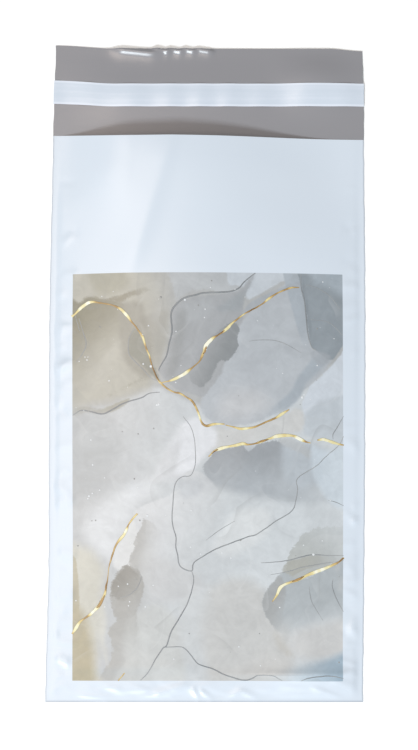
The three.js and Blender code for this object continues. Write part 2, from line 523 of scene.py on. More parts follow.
def film_middle():
    """The film's middle, from the end of the flap down the back, round the fold and up the front."""
    down = np.concatenate([UP_FLAP[::-1], UP_BACK[::-1]])
    back = back_middle(*np.meshgrid(ACROSS, down))
    front = front_middle(*np.meshgrid(ACROSS, UP_BODY))
    bends = []
    for turn in np.linspace(0, math.pi, FOLD_STEPS + 2)[1:-1]:
        point = mix(back[-1], front[0], (1 - math.cos(turn)) / 2)
        point[:, 1] -= FOLD_REACH * math.sin(turn)
        bends.append(point)
    round_fold = np.linspace(-FOLD_REACH, FOLD_REACH, FOLD_STEPS + 2)[1:-1]
    return np.concatenate([back, bends, front]), np.concatenate([-down, round_fold, UP_BODY])


middle, film_length = film_middle()
outer, inner = sheet_points(middle, FILM)
s_grid, q_grid = np.meshgrid(ACROSS, film_length)
print("film's middle:", middle.shape[0], "by", middle.shape[1], "points")

# %% [markdown]
# A second map places each face on a picture that the faces can be painted into. The sheet is nearly flat,
# so its faces go on the picture as plain rectangles, and the printed front gets most of the room.

# %% Build the film


def placed(corner, size, u, v):
    """A rectangle of the picture: its corner, its size, and where in it each point goes."""
    return np.stack([corner[0] + size[0] * u, corner[1] + size[1] * v], -1)


def film_bake_map():
    """Where each face goes on the picture: most of it for the printed front."""
    u = (s_grid + HALF) / WIDTH
    front = (q_grid > 0)[..., None]
    on_flap = (-q_grid > BODY - 2)[..., None]
    body = np.abs(q_grid) / BODY
    whole = np.abs(q_grid) / LENGTH
    flap = np.clip((-q_grid - BODY) / FLAP, 0, 1)
    outer_map = np.where(front, placed((0.005, 0.005), (0.545, 0.985), u, body),
                         placed((0.57, 0.005), (0.2, 0.44), u, whole))
    inner_map = np.where(front, placed((0.57, 0.46), (0.2, 0.38), u, body),
                         placed((0.785, 0.005), (0.2, 0.44), u, body))
    inner_map = np.where(on_flap, placed((0.57, 0.86), (0.42, 0.13), u, flap), inner_map)
    return np.stack([outer_map, inner_map])


flat_map = np.stack([s_grid, q_grid], -1) * MM
film = sheet_mesh("mailer_bag_film", outer, inner, np.stack([flat_map, flat_map]), film_bake_map())
print("film:", len(film.data.polygons), "quads, box", np.round(np.ptp(outer.reshape(-1, 3), axis=0), 1))

# %% [markdown]
# ## Film finishes
# Coextruded mailer film is white outside and grey inside, with a soft gloss. Extrusion leaves faint
# lines along the web and a slight orange peel, which one node group turns into a height for the bump of
# both faces and of the liner.

# %% Helpers for node trees


def node(tree, kind, **settings):
    made = tree.nodes.new(kind)
    for name, value in settings.items():
        setattr(made, name, value)
    return made


def feed(tree, socket, value):
    """Link a socket to another one, or set it to a value."""
    if isinstance(value, bpy.types.NodeSocket):
        tree.links.new(value, socket)
    else:
        socket.default_value = value


def wired(tree, made, **inputs):
    """Feed a node's inputs by name. Underscores in the names stand for spaces."""
    for name, value in inputs.items():
        feed(tree, made.inputs[name.replace("_", " ")], value)
    return made


def vector_maths(tree, operation, a, b):
    made = node(tree, "ShaderNodeVectorMath", operation=operation)
    feed(tree, made.inputs[0], a)
    feed(tree, made.inputs[1], b)
    return made.outputs[0]


def noise(tree, at, scale, detail=2.0, rough=0.5, twist=0.0):
    made = node(tree, "ShaderNodeTexNoise")
    wired(tree, made, Vector=at, Scale=scale, Detail=detail, Roughness=rough, Distortion=twist)
    return made.outputs["Fac"]


def mixed(tree, factor, a, b, blend="MIX"):
    """Two colours mixed by a factor."""
    made = node(tree, "ShaderNodeMix", data_type="RGBA", blend_type=blend)
    feed(tree, made.inputs["Factor"], factor)
    feed(tree, made.inputs[6], a)
    feed(tree, made.inputs[7], b)
    return made.outputs[2]


def node_group(name, kind, inputs, outputs):
    """A node group, the sockets of its inputs, and its output node. Inputs are (name, kind, value)."""
    tree = bpy.data.node_groups.new(name, kind)
    for label, socket_kind, value in inputs:
        socket = tree.interface.new_socket(name=label, in_out="INPUT", socket_type="NodeSocket" + socket_kind)
        if value is not None:
            socket.default_value = value
    for label, socket_kind in outputs:
        tree.interface.new_socket(name=label, in_out="OUTPUT", socket_type="NodeSocket" + socket_kind)
    return tree, node(tree, "NodeGroupInput").outputs, node(tree, "NodeGroupOutput")


print("node groups so far:", len(bpy.data.node_groups))

# %% Build the film texture group
LINE_SCALE = 420
PEEL_SCALE = 330
TONE_SCALE = 28


def film_texture_group():
    """Height: extrusion lines and orange peel. Tone: the same web, in broad pale and dark bands."""
    tree, given, out = node_group(
        "film texture", "ShaderNodeTree",
        [("Coordinate", "Vector", None), ("Line stretch", "Float", 0.06), ("Peel", "Float", 0.5)],
        [("Height", "Float"), ("Tone", "Float")])
    stretch = wired(tree, node(tree, "ShaderNodeCombineXYZ"), X=given["Line stretch"], Y=1, Z=1)
    stretched = vector_maths(tree, "MULTIPLY", given["Coordinate"], stretch.outputs[0])
    height = node(tree, "ShaderNodeMix", data_type="FLOAT")
    feed(tree, height.inputs["Factor"], given["Peel"])
    feed(tree, height.inputs[2], noise(tree, stretched, LINE_SCALE, 3))
    feed(tree, height.inputs[3], noise(tree, given["Coordinate"], PEEL_SCALE, 2))
    wired(tree, out, Height=height.outputs[0], Tone=noise(tree, stretched, TONE_SCALE, 4))
    return tree


FILM_TEXTURE = film_texture_group()
print("film texture:", len(FILM_TEXTURE.nodes), "nodes")

# %% Mix the film's two finishes
ROUGHNESS_DRIFT = 0.05  # either way
RELIEF = 0.05 * MM


def film_map(tree):
    """The place on the flat sheet, in metres."""
    return node(tree, "ShaderNodeUVMap", uv_map="film").outputs["UV"]


def film_finish(name, colour, darker, roughness, bump, stretch, peel):
    """A film material: colour drifting a little towards darker, soft gloss and the film's texture."""
    material, tree, shader = new_material(name)
    texture = node(tree, "ShaderNodeGroup", node_tree=FILM_TEXTURE)
    wired(tree, texture, Coordinate=film_map(tree), Line_stretch=stretch, Peel=peel)
    tone = texture.outputs["Tone"]
    shade = mixed(tree, tone, (*darker, 1), (*colour, 1))
    shade.node.name = "film colour"
    rough = wired(tree, node(tree, "ShaderNodeMapRange"), Value=tone, To_Min=roughness - ROUGHNESS_DRIFT,
                  To_Max=roughness + ROUGHNESS_DRIFT)
    relief = wired(tree, node(tree, "ShaderNodeBump"), Strength=bump, Distance=RELIEF,
                   Height=texture.outputs["Height"])
    wired(tree, shader, IOR=1.5, Base_Color=shade, Roughness=rough.outputs[0], Normal=relief.outputs[0])
    return material


white_film = film_finish("white film with print", (0.640, 0.700, 0.776), (0.612, 0.674, 0.756),
                         0.3, 0.5, 0.08, 0.4)
grey_film = film_finish("grey inner film", (0.278, 0.273, 0.290), (0.262, 0.257, 0.274),
                        0.25, 0.5, 0.08, 0.4)
film.data.materials.append(white_film)
film.data.materials.append(grey_film)
print("materials:", [m.name for m in film.data.materials])

# %% [markdown]
# ## The printed panel: pools of ink
# The print is an ink wash: thin pools of grey and olive ink that ran into each other and dried with a
# darker edge. Each pool is a closed outline on the panel. The mesh stores how deep inside each outline
# every point lies, which stays smooth between points, and the material turns that depth into an edge.
# It adds noise to the depth first, so the edge is as ragged as real ink at any zoom. One pool, at the
# lower right corner, is not ink but the painted shade of the fold across the foot.

# %% Place the panel
PRINT_WIDTH = 145.0
PRINT_HEIGHT = 219.5
PRINT_LOW, PRINT_HIGH = 11.5, 229.2  # how far up the body the panel runs
PRINT_SCALE = PRINT_HEIGHT / (PRINT_HIGH - PRINT_LOW)  # the web was a little slack in the press
PRINT_MIDDLE = 1.6  # at the foot of the sheet, and square with the ends, not with the leaning sides


def on_print(s, t):
    """From the flat sheet to millimetres from the panel's lower left corner."""
    return s - (PRINT_MIDDLE - LEAN * t) + PRINT_WIDTH / 2, (t - PRINT_LOW) * PRINT_SCALE


def on_sheet(x, y):
    """Back from the panel to the flat sheet."""
    t = y / PRINT_SCALE + PRINT_LOW
    return x - PRINT_WIDTH / 2 + (PRINT_MIDDLE - LEAN * t), t


print("panel:", round(PRINT_WIDTH), "by", round(PRINT_HEIGHT), "mm")

# %% Measure how deep a point lies in a pool
LOOP_STEPS = 6


def curved(a, b, c, d, steps):
    """A Catmull-Rom curve from b to just before c, with a and d the points on either side."""
    t = np.linspace(0, 1, steps, endpoint=False)[:, None]
    return 0.5 * (2 * b + (c - a) * t + (2 * a - 5 * b + 4 * c - d) * t ** 2
                  + (3 * b - a - 3 * c + d) * t ** 3)


def smooth_loop(points):
    """A closed curve through the points."""
    p = np.array(points, float)
    around = (np.roll(p, 1 - k, axis=0) for k in range(4))
    return np.concatenate([curved(*four, LOOP_STEPS) for four in zip(*around)])


def depth_inside(loop, x, y):
    """Distance to the loop, positive inside it and negative outside."""
    step = np.roll(loop, -1, axis=0) - loop
    nearest = np.full(x.shape, np.inf)
    inside = np.zeros(x.shape, bool)
    for (x0, y0), (dx, dy) in zip(loop, step):
        along = np.clip(((x - x0) * dx + (y - y0) * dy) / (dx * dx + dy * dy), 0, 1)
        nearest = np.minimum(nearest, np.hypot(x - x0 - along * dx, y - y0 - along * dy))
        if dy:
            crosses = (y0 > y) != (y0 + dy > y)
            inside ^= crosses & (x < x0 + dx * (y - y0) / dy)
    return np.where(inside, nearest, -nearest)


def fading(fade, x, y):
    """1 where the pool is full, falling to 0 from the first point of fade to the second."""
    if fade is None:
        return np.ones_like(x)
    (x0, y0), (x1, y1) = fade
    along = ((x - x0) * (x1 - x0) + (y - y0) * (y1 - y0)) / ((x1 - x0) ** 2 + (y1 - y0) ** 2)
    return 1 - ease(0, 1, along)


print("each outline gets", LOOP_STEPS, "points for every one that is given")

# %% [markdown]
# Colours are given as they look on the lit bag, as 8-bit red, green and blue. The light on the panel
# falls off from left to right, so the ink's own colour depends on where its pool lies. A pool is thin
# at its outline and reaches its full strength a little way in. Its rim, if it has one, dried darker.

# %% Draw the outlines of the pools
LIGHT_LEFT, LIGHT_RIGHT = 1.41, 1.12  # light on the panel's two sides, where 1 shows white as white
LIGHT_FROM, LIGHT_TO = -10, 125  # where across the panel it goes from the one to the other
GLOSS_LEVEL = 0.02  # what the gloss adds to every colour


def as_lit(red, green, blue, x=PRINT_WIDTH / 2):
    """The ink colour that looks like this 8-bit colour at x on the panel under the studio light."""
    shown = np.array([red, green, blue]) / 255
    linear = np.where(shown > 0.04, ((shown + 0.055) / 1.055) ** 2.4, shown / 12.92)
    level = mix(LIGHT_RIGHT, LIGHT_LEFT, 1 - ease(LIGHT_FROM, LIGHT_TO, x))
    return np.maximum((linear - GLOSS_LEVEL) / level, 0)


# A pool's name, its colour, how dense it is, how far its edge bleeds, how ragged the edge is, and its
# outline in millimetres on the panel. Some have a dark rim, or fade from a first point to a second.
Pool = namedtuple("Pool", "name colour density bleed ragged outline rim rim_width fade",
                  defaults=(0, 1, None))
POOLS = [
    Pool("upper_wash", (184, 186, 187), 0.95, 4, 0.4,
         [(-9, 232), (156, 232), (156, 180), (140, 168), (128, 158), (112, 146), (98, 138), (80, 137),
          (68, 146), (56, 151), (44, 156), (34, 152), (24, 147), (12, 145), (-9, 142)]),
    Pool("olive", (195, 193, 183), 0.95, 8, 0.8,
         [(-9, 232), (62, 232), (60, 205), (56, 185), (50, 165), (44, 154), (36, 151), (24, 147), (12, 145),
          (-9, 142)], fade=((34, 190), (66, 196))),
    Pool("olive_top", (180, 178, 164), 0.8, 6, 0.4,
         [(6, 226), (28, 226), (33, 214), (25, 206), (11, 206)]),
    Pool("olive_stain", (152, 149, 132), 0.95, 2.0, 0.7,
         [(-9, 210), (3, 205), (7, 207.5), (13, 207.5), (19, 206.8), (24, 205.5), (29, 202), (31, 195),
          (28, 186), (16, 172), (6, 162), (-9, 158)], rim=0.05, rim_width=2, fade=((5, 199), (27, 172))),
    Pool("olive_streak", (160, 156, 142), 0.95, 1.6, 0.7,
         [(8, 205), (14, 206.5), (20, 207), (26, 208.3), (31, 210.2), (40, 212), (42, 209), (35, 206.7),
          (30, 204.8), (26, 203), (20, 203.5), (12, 204)],
         rim=0.04, rim_width=1, fade=((26, 207), (48, 213))),
    Pool("olive_foot", (176, 174, 162), 0.85, 1.4, 0.4,
         [(-3, 144), (4, 148), (9, 148), (14, 147), (19, 148), (25, 150.5), (31, 152.5), (31, 149.5),
          (25, 145.5), (19, 143), (13, 143), (7, 144), (2, 142)]),
    Pool("olive_ray", (172, 170, 158), 0.55, 1.6, 1.0,
         [(12, 149), (26, 158), (36, 163.5), (45, 169), (44, 165.5), (36, 160), (26, 155.5), (16, 150)],
         rim=0.03, rim_width=1),
    Pool("top_light", (193, 197, 201), 0.85, 2.5, 1,
         [(52, 232), (116, 232), (116, 217), (108, 213), (99, 209), (93, 205), (84, 207), (68, 209),
          (60, 206), (56, 203), (52, 214)]),
    Pool("top_pale", (203, 210, 218), 0.88, 1.2, 0.4,
         [(83, 213.5), (86, 226), (119, 226), (118, 217), (112, 214), (106, 210.7), (100, 207), (96, 205),
          (93, 204), (91, 211), (88, 212)]),
    Pool("heart", (174, 177, 181), 0.9, 1.5, 0.5,
         [(46, 166), (50, 174), (52, 182), (53, 188), (53, 197), (55, 202), (60, 205), (67, 207), (83, 209),
          (89, 211), (92, 214), (99, 222), (96.5, 214), (93, 206), (92, 198), (92, 188), (90, 176),
          (86, 168), (80, 158), (72, 152), (62, 154), (54, 157)], rim=0.06, rim_width=1.5),
    Pool("heart_light", (187, 191, 195), 0.7, 6, 0.4,
         [(56, 202), (66, 206), (78, 207), (76, 196), (66, 190), (57, 192)]),
    Pool("heart_left", (165, 168, 170), 0.75, 4, 0.4,
         [(48, 163), (50, 172), (52, 182), (53, 192), (56, 201), (63, 200), (62, 186), (60, 174),
          (56, 162)]),
    Pool("between", (177, 176, 170), 0.75, 4, 0.4,
         [(42, 176), (39, 186), (34, 195), (44, 200), (53, 200), (53, 190), (52, 181), (50, 173), (47, 165),
          (44, 168)]),
    Pool("lobe_shade", (168, 166, 157), 0.8, 4, 0.4,
         [(25, 203), (23, 188), (26, 172), (33, 164), (42, 161), (46, 168), (45, 180), (42, 193), (39, 204),
          (31, 206)]),
    Pool("left_lobe", (157, 158, 149), 0.92, 1.3, 0.3,
         [(33, 190), (30, 184), (30, 176), (34, 172.5), (38, 168.4), (42, 164.6), (46, 160.2), (48, 160.5),
          (46.5, 165), (43.5, 171), (42, 176), (40, 181), (37, 187)],
         rim=0.1, rim_width=1.2, fade=((35, 180), (38, 199))),
    Pool("wide_pool", (187, 192, 198), 0.95, 1.6, 0.7,
         [(80, 168), (84, 180), (92, 196), (108, 210), (122, 218), (140, 205), (146, 185), (139, 171),
          (129, 160), (118, 151), (108, 143), (98, 138), (88, 137), (78, 138), (71, 141), (68, 147),
          (69, 152), (73, 157), (77, 163)]),
    Pool("wide_pale", (208, 208, 210), 0.55, 12, 0.5,
         [(76, 136), (72, 148), (80, 160), (97, 162), (111, 153), (108, 142), (92, 135)]),
    Pool("wide_shadow", (170, 178, 186), 0.95, 2.5, 0.3,
         [(147, 182), (139, 172.5), (134, 167), (129, 162.3), (126, 159.3), (124.3, 155), (121.8, 150.6),
          (116.5, 145.6), (109, 141.5), (103, 139), (104, 145), (110, 151), (116, 157), (119, 163),
          (124, 170), (130, 176), (138, 180)], fade=((116, 149), (101, 139))),
    Pool("right_light", (210, 217, 226), 0.9, 1.0, 0.4,
         [(156, 192), (146, 180), (139.5, 171.5), (134.3, 165.7), (129.3, 161.2), (126.5, 158.5),
          (125, 154.5), (122.5, 150), (123, 145), (127, 142), (156, 142)]),
    Pool("right_shelf", (195, 202, 209), 0.85, 3, 0.32,
         [(156, 157), (144, 155), (131, 151), (124, 145), (122, 136), (126, 130), (156, 128)],
         rim=0.04, rim_width=1.4),
    Pool("under_pool", (208, 208, 207), 0.85, 2.5, 0.8,
         [(78, 138), (88, 136), (98, 138), (110, 143), (120, 148), (125, 143), (123, 133), (110, 131),
          (96, 127), (84, 125), (74, 122), (71, 128), (73, 135)], rim=0.03, rim_width=1.2),
    Pool("wedge_veil", (171, 179, 187), 0.85, 1.2, 0.4,
         [(111.5, 232), (124, 232), (124, 212), (126, 198), (127, 186), (128, 176), (124, 178), (121, 186),
          (118.5, 195), (116, 203), (114, 211), (112.5, 218)],
         rim=0.04, rim_width=1, fade=((120, 192), (122, 174))),
    Pool("band", (170, 176, 183), 0.75, 1.0, 0.3,
         [(90.5, 198), (94, 203), (98.7, 206), (106, 209.4), (113.8, 213), (121.5, 215.5), (122.5, 212),
          (114, 209.5), (106, 205.5), (99, 200.5), (92, 196.5)]),
    Pool("fin", (164, 170, 175), 0.75, 3.5, 0.4,
         [(80, 204), (87, 209), (92, 212), (99, 222), (97, 213), (93.5, 205), (91.5, 198), (85, 197),
          (78, 197), (75, 201)]),
    Pool("heart_edge", (143, 147, 150), 0.92, 0.9, 0.6,
         [(83.5, 192.3), (86.5, 192.8), (89, 190.7), (89.8, 188.3), (88.6, 185), (88.4, 182.5),
          (89.2, 180.5), (88.4, 177.8), (87, 175.6), (85.4, 173.4), (82.6, 171.2), (80, 172.2),
          (78.4, 171.9), (77.6, 169.8), (77, 167), (75.4, 164.8), (74.8, 162), (73, 160.5), (71.5, 159),
          (69, 157.5), (65, 159), (62, 164), (64, 172), (70, 181), (77, 188)],
         rim=0.05, rim_width=1.2, fade=((82, 172), (64, 180))),
    Pool("wedge", (150, 158, 165), 0.97, 0.9, 0.4,
         [(122, 232), (122, 212), (123.6, 206), (125, 197), (126, 187), (127.6, 180), (131, 177),
          (135, 174), (139.5, 172.5), (144, 178.5), (148, 184), (156, 192), (156, 232)],
         rim=0.12, rim_width=1.3),
    Pool("wedge_light", (172, 182, 191), 0.9, 6, 0.6,
         [(124, 240), (160, 240), (160, 205), (146, 205), (134, 210), (126, 214)]),
    Pool("wedge_fold", (138, 145, 151), 0.7, 1.4, 0.3,
         [(122.3, 220), (124.5, 216), (126, 208), (127.5, 198), (129, 187), (129.5, 180), (128, 179),
          (126, 187), (124.5, 197), (123, 207), (122.2, 213)]),
    Pool("wedge_foot", (170, 175, 181), 0.75, 2.5, 0.4,
         [(127, 179), (134, 178), (139, 176), (139, 172.5), (136, 169), (131, 169), (127, 174)]),
    Pool("left_grey", (197, 201, 204), 0.9, 13, 0.8,
         [(-16, 152), (6, 152), (24, 146), (32, 126), (26, 106), (12, 94), (-16, 90)]),
    Pool("left_white", (236, 239, 243), 0.85, 9, 0.6,
         [(2, 84), (12, 98), (30, 108), (46, 112), (50, 100), (40, 94), (35, 84), (32, 74), (31, 60),
          (16, 62), (4, 74)]),
    Pool("mid_pale", (225, 227, 231), 0.85, 6, 0.5,
         [(40, 106), (44, 118), (50, 130), (56, 140), (66, 141), (66, 112), (56, 105)]),
    Pool("mid_white", (236, 238, 243), 0.92, 4, 0.5,
         [(54, 111), (56, 124), (57, 136), (63, 143), (72, 141), (79, 135), (79, 127), (74, 121), (70, 117),
          (66, 112), (60, 110)]),
    Pool("dark_base", (176, 182, 188), 0.9, 7, 0.4,
         [(68, 116), (77, 121), (90, 128), (120, 131), (150, 122), (160, 106), (150, 94), (122, 92),
          (102, 95), (84, 99), (68, 106)], fade=((108, 110), (152, 112))),
    Pool("dark_core", (158, 162, 167), 0.9, 1.0, 0.7,
         [(70, 114), (73, 120), (76, 124), (80, 125), (87, 126), (92, 127), (94, 124), (98, 127),
          (104, 128.6), (109, 130), (114, 127), (120, 125.5), (126, 122), (128, 116), (120, 106), (104, 98),
          (88, 98), (76, 104)], rim=0.05, rim_width=1.2, fade=((98, 127), (101, 100))),
    Pool("core_fade", (186, 193, 200), 0.95, 6, 0.5,
         [(112, 131), (134, 128), (136, 108), (122, 100), (112, 107), (109, 118)]),
    Pool("core_side", (186, 188, 189), 0.6, 2, 0.8,
         [(108, 131), (118, 131), (124, 128), (129, 124), (128, 118), (120, 122), (112, 126)]),
    Pool("right_blue", (206, 216, 225), 0.8, 4, 0.4,
         [(127, 128), (138, 126), (156, 134), (156, 92), (140, 92), (131, 102), (126, 114)]),
    Pool("white_rim", (238, 239, 240), 0.85, 2.2, 0.5,
         [(21, 62), (25, 76), (30, 86), (37, 92), (41, 88), (38, 78), (37, 70), (34, 62), (27, 58)]),
    Pool("arc_grey", (221, 223, 226), 0.95, 1.3, 0.6,
         [(32, 90), (38, 95), (46, 98), (53, 101), (58, 106), (61, 113), (70, 112), (80, 100), (80, 78),
          (66, 56), (50, 42), (36, 56), (35, 76)], rim=0.03, rim_width=1.5, fade=((44, 88), (76, 72))),
    Pool("arc_core", (202, 206, 211), 0.7, 4, 0.6,
         [(54, 108), (62, 111), (70, 110), (72, 103), (66, 97), (58, 97), (55, 102)]),
    Pool("centre_light", (220, 223, 225), 0.75, 6, 0.5,
         [(72, 72), (86, 94), (106, 94), (108, 80), (94, 68), (80, 64)]),
    Pool("mid_grey", (210, 211, 213), 0.75, 8, 0.6,
         [(38, 70), (52, 68), (66, 62), (74, 52), (68, 42), (52, 38), (38, 42)]),
    Pool("left_pool", (197, 197, 195), 0.95, 0.9, 0.9,
         [(39, 87), (37, 83), (34, 78), (32, 74), (33, 72), (31, 67), (30, 62), (28, 56), (24, 44),
          (21, 36), (23, 33), (21, 31), (19, 27), (20, 22), (21, 15), (20, 11), (17, 7), (14, 0), (12, -8),
          (52, -8), (62, 10), (58, 40), (52, 70), (45, 84)],
         rim=0.05, rim_width=1.3, fade=((25, 42), (45, 39))),
    Pool("foot_pale", (216, 218, 217), 0.75, 5, 0.6,
         [(28, 36), (25, 24), (25, 12), (20, 0), (28, -8), (60, -8), (60, 30), (46, 44), (36, 40)]),
    Pool("pool_side", (192, 192, 191), 0.8, 1.0, 1.2,
         [(39, 88), (37, 83), (34, 77), (33.3, 71), (31, 65), (33, 58), (40, 60), (41, 72)],
         rim=0.05, rim_width=1, fade=((33, 74), (42, 72))),
    Pool("blob_foot", (188, 187, 184), 0.5, 1.6, 1.6,
         [(22, 38), (22.5, 34.5), (20, 30), (19.5, 24), (21, 19), (22, 12), (30, 10), (34, 18), (36, 28),
          (34, 38)], rim=0.05, rim_width=1.2, fade=((24, 30), (31, 16))),
    Pool("blob", (184, 183, 180), 0.92, 0.8, 1.0,
         [(29.5, 62.8), (26.3, 61.8), (23.6, 57.5), (20.6, 52.7), (20.2, 48), (20.4, 43), (21, 37),
          (26, 33), (32, 34), (36, 40), (38, 47), (38, 54), (36, 59), (33, 61.5)],
         rim=0.08, rim_width=1.2, fade=((30, 46), (36, 28))),
    Pool("blob_heart", (158, 156, 151), 0.9, 1.4, 1.2,
         [(29.5, 62.5), (26.5, 61.5), (23.8, 57), (20.8, 52.7), (20.4, 46), (26, 43), (32, 45), (36, 49),
          (37.5, 55), (34, 60)], rim=0.03, rim_width=1.2, fade=((24, 56), (38, 46))),
    Pool("cream_glow", (228, 228, 223), 0.9, 4, 0.24,
         [(13, 44), (18, 42), (20.5, 32), (19, 22), (20.5, 15), (20, 6), (16, 10), (13, 22), (11, 34)]),
    Pool("cream_left", (222, 220, 209), 0.9, 8, 0.6,
         [(-12, 78), (4, 76), (14, 72), (21, 60), (20, 48), (19, 34), (18, 20), (17, 6), (16, -9),
          (-12, -9)]),
    Pool("cream_strip", (200, 193, 172), 0.9, 0.9, 0.5,
         [(-9, 68), (1, 67), (3, 58), (4, 48), (4, 34), (2, 24), (-9, 24)], rim=0.03, rim_width=1),
    Pool("cream_corner", (198, 189, 163), 0.97, 7, 0.4,
         [(-12, 46), (3, 44), (9, 38), (12, 30), (14, 20), (15, 10), (14, -9), (-12, -9)]),
    Pool("warm_shade", (200, 200, 199), 0.85, 9, 1.0,
         [(70, 52), (86, 60), (101, 56), (115, 42), (122, 26), (122, 4), (112, -12), (76, -12), (66, 12),
          (64, 34)]),
    Pool("right_upper", (180, 183, 181), 0.92, 0.9, 1.2,
         [(124, 80), (120, 75), (115.8, 68), (114.2, 61), (112.8, 54.5), (115.5, 52), (122, 54), (132, 59),
          (146, 65), (156, 72), (156, 86), (146, 84), (134, 83)],
         rim=0.04, rim_width=1.5, fade=((118, 58), (150, 98))),
    Pool("right_leaf", (170, 170, 163), 0.75, 0.9, 0.4,
         [(113, 62.5), (117, 65), (121, 66), (130, 68), (138, 67), (148, 67), (146, 64), (131, 61),
          (122, 58), (115, 54.5), (112, 59)], rim=0.06, rim_width=1, fade=((122, 60), (144, 66))),
    Pool("right_lower", (176, 182, 186), 0.97, 1.2, 0.8,
         [(114.5, 58.5), (111, 57.5), (108, 54), (105, 50.5), (102.3, 46), (101.2, 41), (102.8, 36),
          (105.5, 31.5), (109, 27.5), (113, 23), (122, 14), (136, 14), (156, 16), (156, 70), (146, 66),
          (134, 60), (122, 55)], rim=0.04, rim_width=1.5, fade=((126, 41), (130, 24))),
    Pool("right_lobe", (168, 170, 171), 0.9, 1.2, 0.5,
         [(113, 56), (110, 56.5), (108, 54.5), (105, 50.5), (102.4, 46.5), (101.2, 41), (103, 35.5),
          (105.5, 31), (107.5, 28), (109, 25), (112.5, 28), (114, 38), (115, 48)],
         rim=0.05, rim_width=1.2, fade=((109, 44), (119, 40))),
    Pool("right_end", (172, 178, 182), 0.7, 5, 0.5,
         [(138, 60), (156, 64), (156, 42), (146, 44), (140, 50)]),
    Pool("lower_fade", (203, 203, 203), 0.9, 8, 0.6,
         [(116, 28), (130, 34), (156, 36), (156, 12), (128, 8), (114, 14)]),
    Pool("pale_tongue", (213, 216, 218), 0.6, 1.6, 0.8,
         [(65, 49), (60, 46), (56.8, 41), (55.6, 34), (55.5, 27), (57, 15), (60, 8), (72, 10), (78, 26),
          (76, 44)], fade=((62, 36), (82, 30))),
    # painted shade: the bluish shade of the fold across the foot, at its right corner, laid on like a pool of
    # ink
    Pool("painted_corner_shade", (162, 181, 196), 0.95, 6, 0.4,
         [(88, -6), (100, 3.5), (118, 10), (134, 14), (160, 19), (160, -30), (88, -30)],
         fade=((146, 4), (100, 8))),
    Pool("smudge", (186, 181, 172), 0.4, 4, 0.6,
         [(106, 28), (112, 26), (117, 18), (121, 11), (113, 13), (107, 19)]),
]
print(len(POOLS), "pools of ink")

# %% Store the depths on the film
FAR_OUTSIDE = -99.0


def store_on_front(mesh, name, values):
    """A vector for each point of the outer face of the front panel, and far outside elsewhere."""
    field = np.full((2, *q_grid.shape, 3), FAR_OUTSIDE)
    field[0][q_grid > 0] = values
    attribute = mesh.attributes.new(name, "FLOAT_VECTOR", "POINT")
    attribute.data.foreach_set("vector", field.reshape(-1))


front = q_grid > 0
panel_x, panel_y = on_print(s_grid[front], q_grid[front])
store_on_front(film.data, "panel", np.stack([panel_x, panel_y, 0 * panel_x], -1))
for pool in POOLS:
    depth = depth_inside(smooth_loop(pool.outline), panel_x, panel_y)
    strength = pool.density * fading(pool.fade, panel_x, panel_y)
    store_on_front(film.data, pool.name, np.stack([depth, strength, 0 * depth], -1))
print("depths stored at", len(panel_x), "points")

# %% [markdown]
# One node group lays one pool over the colour below it. The panel's material is a chain of these
# groups, one for each outline, over a light wash, and the plain white film outside the panel.

# %% Build the ink pool group


def maths(tree, operation, a, b=None):
    """A maths node with its inputs linked or set."""
    made = node(tree, "ShaderNodeMath", operation=operation)
    feed(tree, made.inputs[0], a)
    if b is not None:
        feed(tree, made.inputs[1], b)
    return made.outputs[0]


def ramp(tree, value, start, end, low=0.0, high=1.0):
    """A smooth step of value from start to end."""
    made = node(tree, "ShaderNodeMapRange", interpolation_type="SMOOTHSTEP")
    wired(tree, made, Value=value, From_Min=start, From_Max=end, To_Min=low, To_Max=high)
    return made.outputs["Result"]


def separated(tree, vector):
    return wired(tree, node(tree, "ShaderNodeSeparateXYZ"), Vector=vector).outputs


def ink_pool_group():
    """One pool over the colour below. Its vector holds the depth and the strength."""
    tree, given, out = node_group(
        "ink pool", "ShaderNodeTree",
        [("Below", "Color", None), ("Ink", "Color", None), ("Pool", "Vector", None), ("Noise", "Float", None),
         ("Bleed", "Float", 2), ("Ragged", "Float", 1), ("Rim", "Float", 0.1), ("Rim width", "Float", 2)],
        [("Color", "Color")])
    parts = separated(tree, given["Pool"])
    shift = maths(tree, "MULTIPLY", given["Noise"], given["Ragged"])
    depth = maths(tree, "ADD", parts["X"], shift)
    cover = maths(tree, "MULTIPLY", ramp(tree, depth, 0.0, given["Bleed"]), parts["Y"])
    edge = ramp(tree, depth, 0.0, given["Rim width"], 1.0, 0.0)
    darker = maths(tree, "MULTIPLY", maths(tree, "MULTIPLY", edge, given["Rim"]), cover)
    laid = mixed(tree, cover, given["Below"], given["Ink"])
    wired(tree, out, Color=mixed(tree, darker, laid, (0, 0, 0, 1), "MULTIPLY"))
    return tree


INK_POOL = ink_pool_group()
print("ink pool:", len(INK_POOL.nodes), "nodes")

# %% Lay the pools one over the other
# noise in three sizes: scale, detail, roughness, twist, and how far it pushes an edge, in millimetres
EDGE_NOISES = [(0.11, 3, 0.55, 0.6, 3.0), (0.38, 5, 0.6, 0.5, 3.6), (1.3, 3, 0.65, 0.4, 2.4)]


def attribute(tree, name):
    return node(tree, "ShaderNodeAttribute", attribute_name=name, attribute_type="GEOMETRY").outputs["Vector"]


def pushed_edges(tree, panel):
    """How far every pool's edge is pushed in or out at a point."""
    push = 0.0
    for scale, detail, rough, twist, reach in EDGE_NOISES:
        off = maths(tree, "SUBTRACT", noise(tree, panel, scale, detail, rough, twist), 0.5)
        push = maths(tree, "ADD", push, maths(tree, "MULTIPLY", off, reach))
    return push


